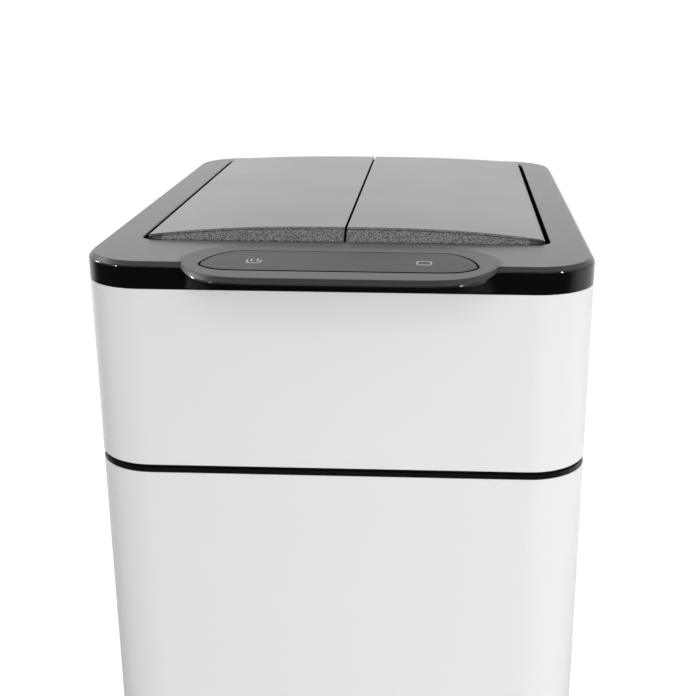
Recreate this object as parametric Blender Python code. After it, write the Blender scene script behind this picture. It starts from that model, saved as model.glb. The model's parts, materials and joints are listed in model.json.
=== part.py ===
"""Sensor bin with a lift-off head and two motor-driven butterfly flaps.

Metres, +Z up. The front looks along -Y. Everything is modelled about the middle
of the body and carried by one empty, which centres the footprint on the origin.
"""

import math

import bmesh
import bpy
from mathutils import Matrix

# Driving sizes of the whole bin
BODY_WIDTH = 0.305
BODY_DEPTH = 0.401
CORNER_RADIUS = 0.0375
CORNER_STEPS = 8
LID_TOP = 0.620
SKIRT_HEIGHT = 0.016
RING_HEIGHT = 0.1109
SEAM_HEIGHT = 0.0049
TOUCH = 0.0003
OVERRUN = 0.004

# Sheet steel
SHEET = 0.0007
HEM_DEPTH = 0.004

# Base pan and feet
FOOT_RADIUS = 0.012
FOOT_HEIGHT = 0.0027
FOOT_STEM_RADIUS = 0.004
FOOT_STEM_TOP = 0.008
FOOT_INSET = 0.040
PAN_FLOOR = 0.003
PAN_PLINTH = 0.0065
PAN_WALL = 0.002
PAN_WALL_TOP = 0.024
SIDE_GAP = 0.0004

# Body rim
RIM_RECESS = 0.0005
RIM_FLANGE = 0.0026
RIM_SHOULDER_INSET = 0.0022
RIM_UPSTAND_INSET = 0.0046
RIM_UPSTAND = 0.0016
RIM_UPSTAND_HEIGHT = 0.0102
RIM_LEDGE_INSET = 0.014
RIM_LEG = 0.002
RIM_LEG_DEPTH = 0.0185

# Bag ring
BAG_FLANGE = 0.0025
BAG_LIP = 0.002
BAG_LIP_DEPTH = 0.042
BAG_TAB_LENGTH = 0.030
BAG_TAB_THICKNESS = 0.002
BAG_TAB_HEIGHT = 0.012

# Lid frame
CHAMFER = 0.0028
PLATE = 0.0025
SKIRT_WALL = 0.0025
LOCATOR_INSET = 0.0014
LOCATOR_WALL = 0.002
LOCATOR_DEPTH = 0.012
LOCATOR_OVERLAP = 0.0025
LID_BORDER = 0.0241
OPENING_FRONT = 0.0605
OPENING_BACK = 0.0185
OPENING_RADIUS = 0.010
COLLAR_SETBACK = 0.0016
COLLAR_WALL = 0.002
COLLAR_DEPTH = 0.024
FUSE = 0.001

# Tongue with the sensor window
TONGUE_OVERHANG = 0.035
TONGUE_HALF_LENGTH = 0.0968
TONGUE_DEPTH = 0.0865
TONGUE_EDGE = 0.0058
TONGUE_BEVEL = 0.0033
TONGUE_ROOF_DROP = 0.0100
# Share of the tongue's half depth that its end radius takes, just under 1 so that a short flat is left
TONGUE_ROUND_SHARE = 0.999
WINDOW_HALF_LENGTH = 0.0796
WINDOW_BACK_DEPTH = 0.034
WINDOW_FRONT_DEPTH = 0.0137
WINDOW_TIP_SETBACK = 0.0345
WINDOW_BACK_SHARES = (
    (0.985, 0.12), (0.95, 0.35), (0.915, 0.55), (0.877, 0.72), (0.835, 0.86), (0.79, 0.95), (0.73, 0.99), (0.66, 1.0),
)
WINDOW_FRONT_SHARES = (
    (0.985, 0.15), (0.95, 0.42), (0.915, 0.61), (0.877, 0.76), (0.83, 0.89), (0.774, 0.96), (0.70, 0.995), (0.60, 1.0),
)
WINDOW_SINK = 0.0002
WINDOW_THICKNESS = 0.002
WINDOW_GROOVE = 0.0005
WINDOW_LEDGE = 0.003
WINDOW_LEDGE_THICKNESS = 0.0024
UNDERSIDE_THICKNESS = 0.0016
UNDERSIDE_RISE = 0.0092

# Electronics under the window
BOARD_HALF_LENGTH = 0.060
BOARD_DEPTH = 0.045
BOARD_THICKNESS = 0.0016
BOARD_DROP = 0.0095
BOARD_FRONT_REACH = 0.0105
PAD_RADIUS = 0.0065
PAD_THICKNESS = 0.0012
PAD_SPREAD = 0.0490
LED_RADIUS = 0.0018
LED_HEIGHT = 0.0024
LED_SPREAD = 0.008
BOARD_SCREW_RADIUS = 0.0012
BOARD_SCREW_HEAD = 0.0024
BOARD_SCREW_HEAD_HEIGHT = 0.001
BOARD_SCREW_LENGTH = 0.006
BOARD_POST_RADIUS = 0.0027
BOARD_POST_BORE_DEPTH = 0.008
BOARD_SCREW_SPREAD = 0.054

# Flaps
FLAP_GAP = 0.0032
FLAP_END_GAP = 0.0013
FLAP_CENTRE_GAP = 0.0008
FLAP_SIDE_RISE = 0.0020
FLAP_RIDGE_RISE = 0.0069
FLAP_ARCH_POWER = 2.6
FLAP_ARCH_STEPS = 12
FLAP_CORNER = 0.008
FLAP_LEAN = 0.0110
FLAP_PLANE_REACH = 1.5
COVER_EDGE = 0.0010
COVER_THICKNESS = 0.0018
COVER_LIP = 0.005
COVER_EASE = 0.0018
CARRIER_DEPTH = 0.012
CARRIER_WALL = 0.002
CARRIER_END = 0.008
HINGE_INSET = 0.0135
HINGE_DROP = 0.0075
SHAFT_RADIUS = 0.0025
SHAFT_INTO_FLAP = 0.018
BUSH_WALL = 0.0012
BUSH_LENGTH = 0.0049
OPEN_ANGLE = math.radians(82)
REST_LEDGE_HALF = 0.015
REST_LEDGE_REACH = 0.008
REST_LEDGE_THICKNESS = 0.003
REST_PAD_HALF = 0.012
REST_PAD_DEPTH = 0.006
REST_PAD_THICKNESS = 0.0014

# Drive
GEAR_MODULE = 0.001
SECTOR_TEETH = 40
SECTOR_TEETH_CUT = 13
SECTOR_FIRST_PITCHES = 1.5
PINION_TEETH = 14
BACKLASH = 0.0002
PRESSURE_ANGLE = math.radians(20)
ADDENDUM_SHARE = 1.0
DEDENDUM_SHARE = 1.25
FLANK_STEPS = 4
GEAR_WIDTH = 0.006
GEAR_FORWARD = 0.0055
SECTOR_HUB_RADIUS = 0.0044
RACK_BODY = 0.0037
RACK_SPARE_TEETH = 1.5
RACK_LINK = 0.004
RACK_LINK_CLEAR = 0.0014
PINION_JOURNAL = 0.002
PINION_JOURNAL_BACK = 0.0008
PINION_JOURNAL_FRONT = 0.0045
MESH_DROP = 0.001

# Drive housing
HOUSING_INSET = 0.004
HOUSING_WALL = 0.0018
HOUSING_FLOOR = 0.002
HOUSING_DROP = 0.0635
HOUSING_BACK_GAP = 0.0005
HOUSING_SIDE_TOP_DROP = 0.003
LEDGE_SPARE = 0.002
BOSS_RADIUS = 0.0035
BOSS_BORE = 0.0016
BOSS_BORE_DEPTH = 0.014
BOSS_FRONT = (0.0245, 0.0165)
BOSS_BACK = (0.0125, 0.0375)
SCREW_RADIUS = 0.0013
SCREW_LENGTH = 0.012
SCREW_HEAD_RADIUS = 0.003
SCREW_HEAD = 0.002
GUIDE_LENGTH = 0.0927
GUIDE_END_INSET = 0.0098
GEARBOX_HALF_WIDTH = 0.015
GEARBOX_HEIGHT = 0.0475
GEARBOX_DEPTH = 0.016
GEARBOX_GAP = 0.0025
JOURNAL_HOLE_DEPTH = 0.005
MOTOR_RADIUS = 0.012
MOTOR_LENGTH = 0.0178
MOTOR_LIFT = 0.0015

# Throat liner
LINER_WALL = 0.0018
LINER_OVERLAP = 0.008
LINER_BOTTOM_DROP = 0.080

# Battery box
CELL_RADIUS = 0.00725
CELL_LENGTH = 0.0492
CELL_NUB = 0.0013
CELL_NUB_RADIUS = 0.0026
CELL_PITCH = 0.0154
CELL_END_ROOM = 0.0032
BATTERY_WALL = 0.0015
BATTERY_ROOF = 0.0015
BATTERY_SIDE = 0.0296
BATTERY_FRONT = 0.0105
BATTERY_SIDE_ROOM = 0.0012
CONTACT_THICKNESS = 0.0005
CONTACT_BOSS = 0.0018
CONTACT_BOSS_HEIGHT = 0.0012
DOOR_THICKNESS = 0.0016

# Power switch
SWITCH_SIDE = 0.1125
SWITCH_LENGTH = 0.021
SWITCH_WIDTH = 0.015
SWITCH_DEPTH = 0.012
SWITCH_WALL = 0.0018
SWITCH_ROOF = 0.003
ROCKER_LENGTH = 0.0166
ROCKER_WIDTH = 0.0106
ROCKER_EDGE = 0.003
ROCKER_CREST = 0.0012
ROCKER_TILT = math.radians(7)

# Leads
LEAD_RADIUS = 0.0012
BATTERY_LEAD_BACK = 0.0375
BATTERY_LEAD_HOLE = 0.002
BATTERY_LEAD_BOW = 0.004
MOTOR_LEAD_X = 0.026
LEAD_STEPS = 14

# Places worked out from the sizes above
HALF_WIDTH = BODY_WIDTH / 2
HALF_DEPTH = BODY_DEPTH / 2
OPENING_HALF_WIDTH = HALF_WIDTH - LID_BORDER
PAN_BOTTOM = FOOT_HEIGHT + TOUCH
PLINTH_TOP = PAN_BOTTOM + PAN_PLINTH
SHELL_BOTTOM = PLINTH_TOP + TOUCH
RING_TOP = LID_TOP - SKIRT_HEIGHT
RING_BOTTOM = RING_TOP - RING_HEIGHT
SHELL_TOP = RING_BOTTOM - SEAM_HEIGHT
PLATE_UNDERSIDE = LID_TOP - PLATE
OPENING_Y_FRONT = -HALF_DEPTH + OPENING_FRONT
OPENING_Y_BACK = HALF_DEPTH - OPENING_BACK
COLLAR_BOTTOM = LID_TOP - COLLAR_DEPTH
COLLAR_FRONT_INNER = OPENING_Y_FRONT - COLLAR_SETBACK
COLLAR_BACK_INNER = OPENING_Y_BACK + COLLAR_SETBACK
COLLAR_FRONT_OUTER = COLLAR_FRONT_INNER - COLLAR_WALL
COLLAR_BACK_OUTER = COLLAR_BACK_INNER + COLLAR_WALL
COLLAR_HALF_OUTER = OPENING_HALF_WIDTH + COLLAR_SETBACK + COLLAR_WALL
FLAP_OUTER = OPENING_HALF_WIDTH - FLAP_GAP
FLAP_FRONT = OPENING_Y_FRONT + FLAP_END_GAP
FLAP_BACK = OPENING_Y_BACK - FLAP_END_GAP
CARRIER_BOTTOM = LID_TOP - CARRIER_DEPTH
HINGE_X = FLAP_OUTER - HINGE_INSET
HINGE_Z = LID_TOP - HINGE_DROP
TONGUE_FRONT = -HALF_DEPTH - TONGUE_OVERHANG
TONGUE_BOTTOM = LID_TOP - TONGUE_EDGE
WINDOW_TIP_Y = TONGUE_FRONT + WINDOW_TIP_SETBACK
BOARD_BOTTOM = LID_TOP - BOARD_DROP
BOARD_FRONT = -HALF_DEPTH - BOARD_FRONT_REACH
SECTOR_RADIUS = GEAR_MODULE * SECTOR_TEETH / 2
PINION_RADIUS = GEAR_MODULE * PINION_TEETH / 2
RACK_TRAVEL = SECTOR_RADIUS * OPEN_ANGLE
TOOTH_PITCH = math.pi * GEAR_MODULE
ADDENDUM = ADDENDUM_SHARE * GEAR_MODULE
DEDENDUM = DEDENDUM_SHARE * GEAR_MODULE
RACK_PITCH_Z = HINGE_Z - SECTOR_RADIUS
PINION_Z = RACK_PITCH_Z + 2 * MESH_DROP - PINION_RADIUS
GEAR_Y_BACK = COLLAR_FRONT_OUTER - GEAR_FORWARD
GEAR_Y_FRONT = GEAR_Y_BACK - GEAR_WIDTH
HOUSING_BOTTOM = LID_TOP - HOUSING_DROP
HOUSING_FLOOR_TOP = HOUSING_BOTTOM + HOUSING_FLOOR
HOUSING_TOP = LID_TOP - HOUSING_SIDE_TOP_DROP
LINER_FRONT_OUTER = COLLAR_FRONT_OUTER - TOUCH - LINER_WALL
LINER_BOTTOM = LID_TOP - LINER_BOTTOM_DROP
HOUSING_BACK = LINER_FRONT_OUTER - HOUSING_BACK_GAP
GEARBOX_BACK = GEAR_Y_FRONT - GEARBOX_GAP
GEARBOX_FRONT = GEARBOX_BACK - GEARBOX_DEPTH
MOTOR_Z = HOUSING_FLOOR_TOP + MOTOR_LIFT + MOTOR_RADIUS
BATTERY_TOP = HOUSING_BOTTOM - TOUCH
BATTERY_INNER_LENGTH = 2 * (CELL_LENGTH + CELL_NUB + CELL_END_ROOM)
BATTERY_LENGTH = BATTERY_INNER_LENGTH + 2 * BATTERY_WALL
BATTERY_INNER_DEPTH = CELL_PITCH + 2 * CELL_RADIUS + 2 * BATTERY_SIDE_ROOM
BATTERY_DEPTH = BATTERY_INNER_DEPTH + 2 * BATTERY_WALL
BATTERY_X_LEFT = -HALF_WIDTH + BATTERY_SIDE
BATTERY_X_RIGHT = BATTERY_X_LEFT + BATTERY_LENGTH
BATTERY_Y_FRONT = -HALF_DEPTH + BATTERY_FRONT
BATTERY_Y_BACK = BATTERY_Y_FRONT + BATTERY_DEPTH
BATTERY_HEIGHT = 2 * CELL_RADIUS + BATTERY_ROOF + 3 * TOUCH
BATTERY_BOTTOM = BATTERY_TOP - BATTERY_HEIGHT
CELL_Z = BATTERY_BOTTOM + CELL_RADIUS + TOUCH
DOOR_TOP = BATTERY_BOTTOM - TOUCH
SWITCH_TOP = HOUSING_BOTTOM - TOUCH
SWITCH_BOTTOM = SWITCH_TOP - SWITCH_DEPTH
SWITCH_X = HALF_WIDTH - SWITCH_SIDE
SWITCH_Y = BATTERY_Y_FRONT + BATTERY_DEPTH / 2
BATTERY_LEAD_X = BATTERY_X_RIGHT - BATTERY_LEAD_BACK


def start_clean():
    """Removes the startup objects."""
    for item in list(bpy.data.objects):
        bpy.data.objects.remove(item, do_unlink=True)


def principled(name, colour, roughness, metallic=0.0):
    """A plain Principled material."""
    finish = bpy.data.materials.new(name)
    finish.use_nodes = True
    shader = finish.node_tree.nodes["Principled BSDF"]
    shader.inputs["Base Color"].default_value = (*colour, 1.0)
    shader.inputs["Roughness"].default_value = roughness
    shader.inputs["Metallic"].default_value = metallic
    return finish


def empty(name, place=(0, 0, 0), parent=None):
    """An empty that carries pieces, at a place in the bin's own coordinates."""
    holder = bpy.data.objects.new(name, None)
    bpy.context.collection.objects.link(holder)
    holder.location = place
    holder.parent = parent
    return holder


def solid(name, bm, finish=None, carrier=None):
    """Turns a closed bmesh, drawn in the bin's coordinates, into a piece on its carrier."""
    bmesh.ops.remove_doubles(bm, verts=bm.verts, dist=TOUCH / 100)
    bmesh.ops.recalc_face_normals(bm, faces=bm.faces)
    mesh = bpy.data.meshes.new(name)
    bm.to_mesh(mesh)
    bm.free()
    piece = bpy.data.objects.new(name, mesh)
    bpy.context.collection.objects.link(piece)
    if finish is not None:
        mesh.materials.append(finish)
    if carrier is not None:
        piece.parent = carrier
        piece.location = -carrier.location if carrier.parent else (0, 0, 0)
    return piece


def combine(target, tool, operation):
    """Applies one exact Boolean of the tool to the target and deletes the tool."""
    bpy.context.view_layer.update()
    tool.matrix_world = target.matrix_world.copy()
    bpy.context.view_layer.update()
    step = target.modifiers.new(operation, "BOOLEAN")
    step.operation = operation
    step.object = tool
    step.solver = "EXACT"
    with bpy.context.temp_override(object=target, active_object=target):
        bpy.ops.object.modifier_apply(modifier=step.name)
    bpy.data.objects.remove(tool, do_unlink=True)
    return target


def cut(target, tool):
    """Cuts the tool out of the target."""
    return combine(target, tool, "DIFFERENCE")


def join(target, tool):
    """Welds the tool to the target."""
    return combine(target, tool, "UNION")


def keep(target, tool):
    """Keeps what the target and the tool share."""
    return combine(target, tool, "INTERSECT")


def rounded_rect(inset=0.0, steps=CORNER_STEPS):
    """The bin's plan outline, moved inward by the inset, anticlockwise."""
    return rounded_box(
        -HALF_WIDTH + inset, HALF_WIDTH - inset, -HALF_DEPTH + inset, HALF_DEPTH - inset,
        CORNER_RADIUS - inset, steps,
    )


def rounded_box(left, right, front, back, radius, steps=CORNER_STEPS):
    """A rectangle with round corners, anticlockwise."""
    corners = (
        (right - radius, front + radius, -90),
        (right - radius, back - radius, 0),
        (left + radius, back - radius, 90),
        (left + radius, front + radius, 180),
    )
    points = []
    for x, y, start in corners:
        for step in range(steps + 1):
            angle = math.radians(start + 90 * step / steps)
            points.append((x + radius * math.cos(angle), y + radius * math.sin(angle)))
    return points


def stadium(inset):
    """The tongue's plan outline, moved inward by the inset."""
    radius = TONGUE_DEPTH / 2 - inset
    return rounded_box(
        -TONGUE_HALF_LENGTH + inset, TONGUE_HALF_LENGTH - inset,
        TONGUE_FRONT + inset, TONGUE_FRONT + TONGUE_DEPTH - inset, radius * TONGUE_ROUND_SHARE,
    )


def eye(grow):
    """The window's outline: straight front and back edges that curve to two tips."""
    half_length = WINDOW_HALF_LENGTH + grow
    back = WINDOW_BACK_DEPTH + grow
    front = WINDOW_FRONT_DEPTH + grow
    rear = [(along * half_length, WINDOW_TIP_Y + across * back) for along, across in WINDOW_BACK_SHARES]
    near = [(along * half_length, WINDOW_TIP_Y - across * front) for along, across in WINDOW_FRONT_SHARES]
    right = [(half_length, WINDOW_TIP_Y)] + rear
    left = [(-x, y) for x, y in reversed(rear)] + [(-half_length, WINDOW_TIP_Y)]
    return right + left + [(-x, y) for x, y in near] + list(reversed(near))


def loft(sections):
    """A closed solid through level outlines, each an outline and its height."""
    bm = bmesh.new()
    loops = [[bm.verts.new((x, y, z)) for x, y in outline] for outline, z in sections]
    for low, high in zip(loops, loops[1:]):
        for i in range(len(low)):
            j = (i + 1) % len(low)
            bm.faces.new((low[i], low[j], high[j], high[i]))
    bm.faces.new(list(reversed(loops[0])))
    bm.faces.new(loops[-1])
    return bm


def hoop(profile, outline_at):
    """A closed ring: a profile of (inset, height) points swept round an outline."""
    bm = bmesh.new()
    loops = [[bm.verts.new((x, y, z)) for x, y in outline_at(inset)] for inset, z in profile]
    loops.append(loops[0])
    for low, high in zip(loops, loops[1:]):
        for i in range(len(low)):
            j = (i + 1) % len(low)
            bm.faces.new((low[i], low[j], high[j], high[i]))
    return bm


def block(left, right, front, back, bottom, top):
    """A box between its six sides."""
    outline = [(left, front), (right, front), (right, back), (left, back)]
    return loft([(outline, bottom), (outline, top)])


def along_y(outline, front, back):
    """A solid with an (x, z) outline, drawn from front to back."""
    bm = bmesh.new()
    near = [bm.verts.new((x, front, z)) for x, z in outline]
    far = [bm.verts.new((x, back, z)) for x, z in outline]
    for i in range(len(near)):
        j = (i + 1) % len(near)
        bm.faces.new((near[i], near[j], far[j], far[i]))
    bm.faces.new(list(reversed(near)))
    bm.faces.new(far)
    return bm


def along_x(outline, left, right):
    """A solid with a (y, z) outline, drawn from left to right."""
    bm = bmesh.new()
    near = [bm.verts.new((left, y, z)) for y, z in outline]
    far = [bm.verts.new((right, y, z)) for y, z in outline]
    for i in range(len(near)):
        j = (i + 1) % len(near)
        bm.faces.new((near[i], near[j], far[j], far[i]))
    bm.faces.new(list(reversed(near)))
    bm.faces.new(far)
    return bm


def circle(x, y, radius, steps):
    """Points of a circle, anticlockwise."""
    turn = 2 * math.pi / steps
    return [(x + radius * math.cos(turn * i), y + radius * math.sin(turn * i)) for i in range(steps)]


def post(x, y, sections, steps=24):
    """An upright turned piece from (radius, height) sections."""
    return loft([(circle(x, y, radius, steps), z) for radius, z in sections])


def rod_y(x, z, radius, front, back, steps=24):
    """A round bar along Y."""
    return along_y(circle(x, z, radius, steps), front, back)


def tube_y(x, z, outer, inner, front, back, steps=24):
    """A round tube along Y."""
    bm = bmesh.new()
    rings = []
    for radius, y in ((outer, front), (outer, back), (inner, back), (inner, front)):
        rings.append([bm.verts.new((px, y, pz)) for px, pz in circle(x, z, radius, steps)])
    rings.append(rings[0])
    for low, high in zip(rings, rings[1:]):
        for i in range(steps):
            j = (i + 1) % steps
            bm.faces.new((low[i], low[j], high[j], high[i]))
    return bm


def flank_half_angle(radius, teeth):
    """Half the angle that a tooth takes at a radius."""
    pitch_radius = GEAR_MODULE * teeth / 2
    base_radius = pitch_radius * math.cos(PRESSURE_ANGLE)
    at_pitch = math.pi / (2 * teeth) - BACKLASH / (2 * pitch_radius)
    roll = math.acos(min(1.0, base_radius / radius))
    involute = math.tan(roll) - roll
    return at_pitch + math.tan(PRESSURE_ANGLE) - PRESSURE_ANGLE - involute


def tooth_points(teeth, middle):
    """One tooth of a gear as (radius, angle) points, anticlockwise about its middle angle."""
    pitch_radius = GEAR_MODULE * teeth / 2
    root = pitch_radius - DEDENDUM
    tip = pitch_radius + ADDENDUM
    start = max(root, pitch_radius * math.cos(PRESSURE_ANGLE))
    rising = [(root, -flank_half_angle(start, teeth))]
    for step in range(FLANK_STEPS + 1):
        radius = start + (tip - start) * step / FLANK_STEPS
        rising.append((radius, -flank_half_angle(radius, teeth)))
    falling = [(radius, -angle) for radius, angle in reversed(rising)]
    return [(radius, middle + angle) for radius, angle in rising + falling]


def polar(centre_x, centre_z, points):
    """(radius, angle) points about a centre, as (x, z)."""
    return [(centre_x + r * math.cos(a), centre_z + r * math.sin(a)) for r, a in points]


def rack_teeth(first, last, pitch_z, up):
    """Teeth of a rack from x=first to x=last, which both lie in a space, left to right."""
    quarter = TOOTH_PITCH / 4 - BACKLASH / 2
    spread = math.tan(PRESSURE_ANGLE)
    count = round((last - first) / TOOTH_PITCH)
    points = []
    for i in range(count):
        middle = first + TOOTH_PITCH * (i + 1 / 2)
        root, tip = pitch_z - up * DEDENDUM, pitch_z + up * ADDENDUM
        wide, narrow = quarter + spread * DEDENDUM, quarter - spread * ADDENDUM
        points += [(middle - wide, root), (middle - narrow, tip), (middle + narrow, tip), (middle + wide, root)]
    return points


def tooth_span(middle, low, high):
    """The ends of a row of teeth that covers low to high with a tooth at the middle."""
    before = math.ceil((middle - low) / TOOTH_PITCH) + 1 / 2
    after = math.ceil((high - middle) / TOOTH_PITCH) + 1 / 2
    return middle - TOOTH_PITCH * before, middle + TOOTH_PITCH * after


def flap_rise(x):
    """Height of the closed flaps' top over the lid plate at a distance from the centre line."""
    share = min(1.0, abs(x) / FLAP_OUTER)
    return FLAP_SIDE_RISE + (FLAP_RIDGE_RISE - FLAP_SIDE_RISE) * (1 - share**FLAP_ARCH_POWER)


def arch_line(inner, outer, drop):
    """Points along the arch from inner to outer, lowered by the drop."""
    spots = [inner + (outer - inner) * i / FLAP_ARCH_STEPS for i in range(FLAP_ARCH_STEPS + 1)]
    return [(x, LID_TOP + flap_rise(x) - drop) for x in spots]


def sided(points, side):
    """Mirrors (x, other) points to the side, right being 1 and left -1."""
    return [(side * x, z) for x, z in points]


def foot_places():
    """The four feet's places, with their names."""
    x, y = HALF_WIDTH - FOOT_INSET, HALF_DEPTH - FOOT_INSET
    return {
        "foot_front_left": (-x, -y), "foot_front_right": (x, -y),
        "foot_back_left": (-x, y), "foot_back_right": (x, y),
    }


def build_body(bin_empty, finishes):
    """The standing body: sleeve, base pan, feet and rim."""
    sleeve = [(0, SHELL_BOTTOM), (0, SHELL_TOP), (SHEET, SHELL_TOP), (SHEET, SHELL_BOTTOM)]
    solid("body_shell", hoop(sleeve, rounded_rect), finishes["steel"], bin_empty)

    wall = SHEET + SIDE_GAP
    floor_top = PAN_BOTTOM + PAN_FLOOR
    pan = solid("base_pan", loft([
        (rounded_rect(0), PAN_BOTTOM), (rounded_rect(0), PLINTH_TOP),
        (rounded_rect(wall), PLINTH_TOP), (rounded_rect(wall), PAN_WALL_TOP),
        (rounded_rect(wall + PAN_WALL), PAN_WALL_TOP), (rounded_rect(wall + PAN_WALL), floor_top),
    ]), finishes["plastic"], bin_empty)
    for side in (-1, 1):
        for end in (-1, 1):
            corner = side * (HALF_WIDTH - CORNER_RADIUS), end * (HALF_DEPTH - CORNER_RADIUS)
            beyond = side * HALF_WIDTH, end * HALF_DEPTH
            plan = *sorted((corner[0], beyond[0])), *sorted((corner[1], beyond[1]))
            cut(pan, solid("corner_gap", block(*plan, PLINTH_TOP, PAN_WALL_TOP + OVERRUN)))
    for name, (x, y) in foot_places().items():
        hole = FOOT_STEM_RADIUS + TOUCH
        cut(pan, solid("hole", post(x, y, [(hole, 0), (hole, floor_top + OVERRUN)])))
        solid(name, post(x, y, [
            (FOOT_RADIUS, 0), (FOOT_RADIUS, FOOT_HEIGHT),
            (FOOT_STEM_RADIUS, FOOT_HEIGHT), (FOOT_STEM_RADIUS, FOOT_STEM_TOP),
        ]), finishes["rubber"], bin_empty)

    low = SHELL_TOP + TOUCH
    top = low + RIM_FLANGE
    shoulder = RING_BOTTOM - TOUCH
    leg = SHEET + TOUCH
    upstand = RIM_UPSTAND_INSET + RIM_UPSTAND
    solid("body_rim", hoop([
        (RIM_RECESS, low), (RIM_RECESS, top), (RIM_SHOULDER_INSET, top), (RIM_SHOULDER_INSET, shoulder),
        (RIM_UPSTAND_INSET, shoulder), (RIM_UPSTAND_INSET, shoulder + RIM_UPSTAND_HEIGHT),
        (upstand, shoulder + RIM_UPSTAND_HEIGHT), (upstand, top), (RIM_LEDGE_INSET, top),
        (RIM_LEDGE_INSET, low), (leg + RIM_LEG, low), (leg + RIM_LEG, low - RIM_LEG_DEPTH),
        (leg, low - RIM_LEG_DEPTH), (leg, low),
    ], rounded_rect), finishes["plastic"], bin_empty)


def build_bag_ring(bin_empty, finishes):
    """The loose hoop inside the rim that holds the bag."""
    low = SHELL_TOP + TOUCH + RIM_FLANGE + TOUCH
    outer = RIM_UPSTAND_INSET + RIM_UPSTAND + SIDE_GAP
    lip = RIM_LEDGE_INSET + SIDE_GAP
    top = low + BAG_FLANGE
    ring = solid("bag_ring", hoop([
        (outer, low), (outer, top), (lip + BAG_LIP, top), (lip + BAG_LIP, top - BAG_LIP_DEPTH),
        (lip, top - BAG_LIP_DEPTH), (lip, low),
    ], rounded_rect), finishes["plastic"], bin_empty)
    for side in (-1, 1):
        x = side * (HALF_WIDTH - (outer + lip) / 2)
        tab = block(
            x - BAG_TAB_THICKNESS / 2, x + BAG_TAB_THICKNESS / 2, -BAG_TAB_LENGTH / 2, BAG_TAB_LENGTH / 2,
            top - FUSE, top + BAG_TAB_HEIGHT,
        )
        join(ring, solid("tab", tab))


def opening_outline(inset):
    """The lid opening's plan outline, moved inward by the inset."""
    return rounded_box(
        -OPENING_HALF_WIDTH + inset, OPENING_HALF_WIDTH - inset,
        OPENING_Y_FRONT + inset, OPENING_Y_BACK - inset, OPENING_RADIUS - inset,
    )


def boss_places():
    """Where the housing's screws enter the lid frame."""
    places = []
    for aside, back in (BOSS_FRONT, BOSS_BACK):
        x = HALF_WIDTH - aside
        places += [(-x, -HALF_DEPTH + back), (x, -HALF_DEPTH + back)]
    return places


def hinge_places():
    """The hinge bushings: name, side, front end and back end."""
    reach = (BUSH_LENGTH - COLLAR_WALL) / 2
    front = COLLAR_FRONT_OUTER - reach
    back = COLLAR_BACK_INNER - reach
    return [
        (f"{side_name}_{end_name}_bushing", side, start, start + BUSH_LENGTH)
        for side_name, side in (("left", -1), ("right", 1))
        for end_name, start in (("front", front), ("rear", back))
    ]


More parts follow.
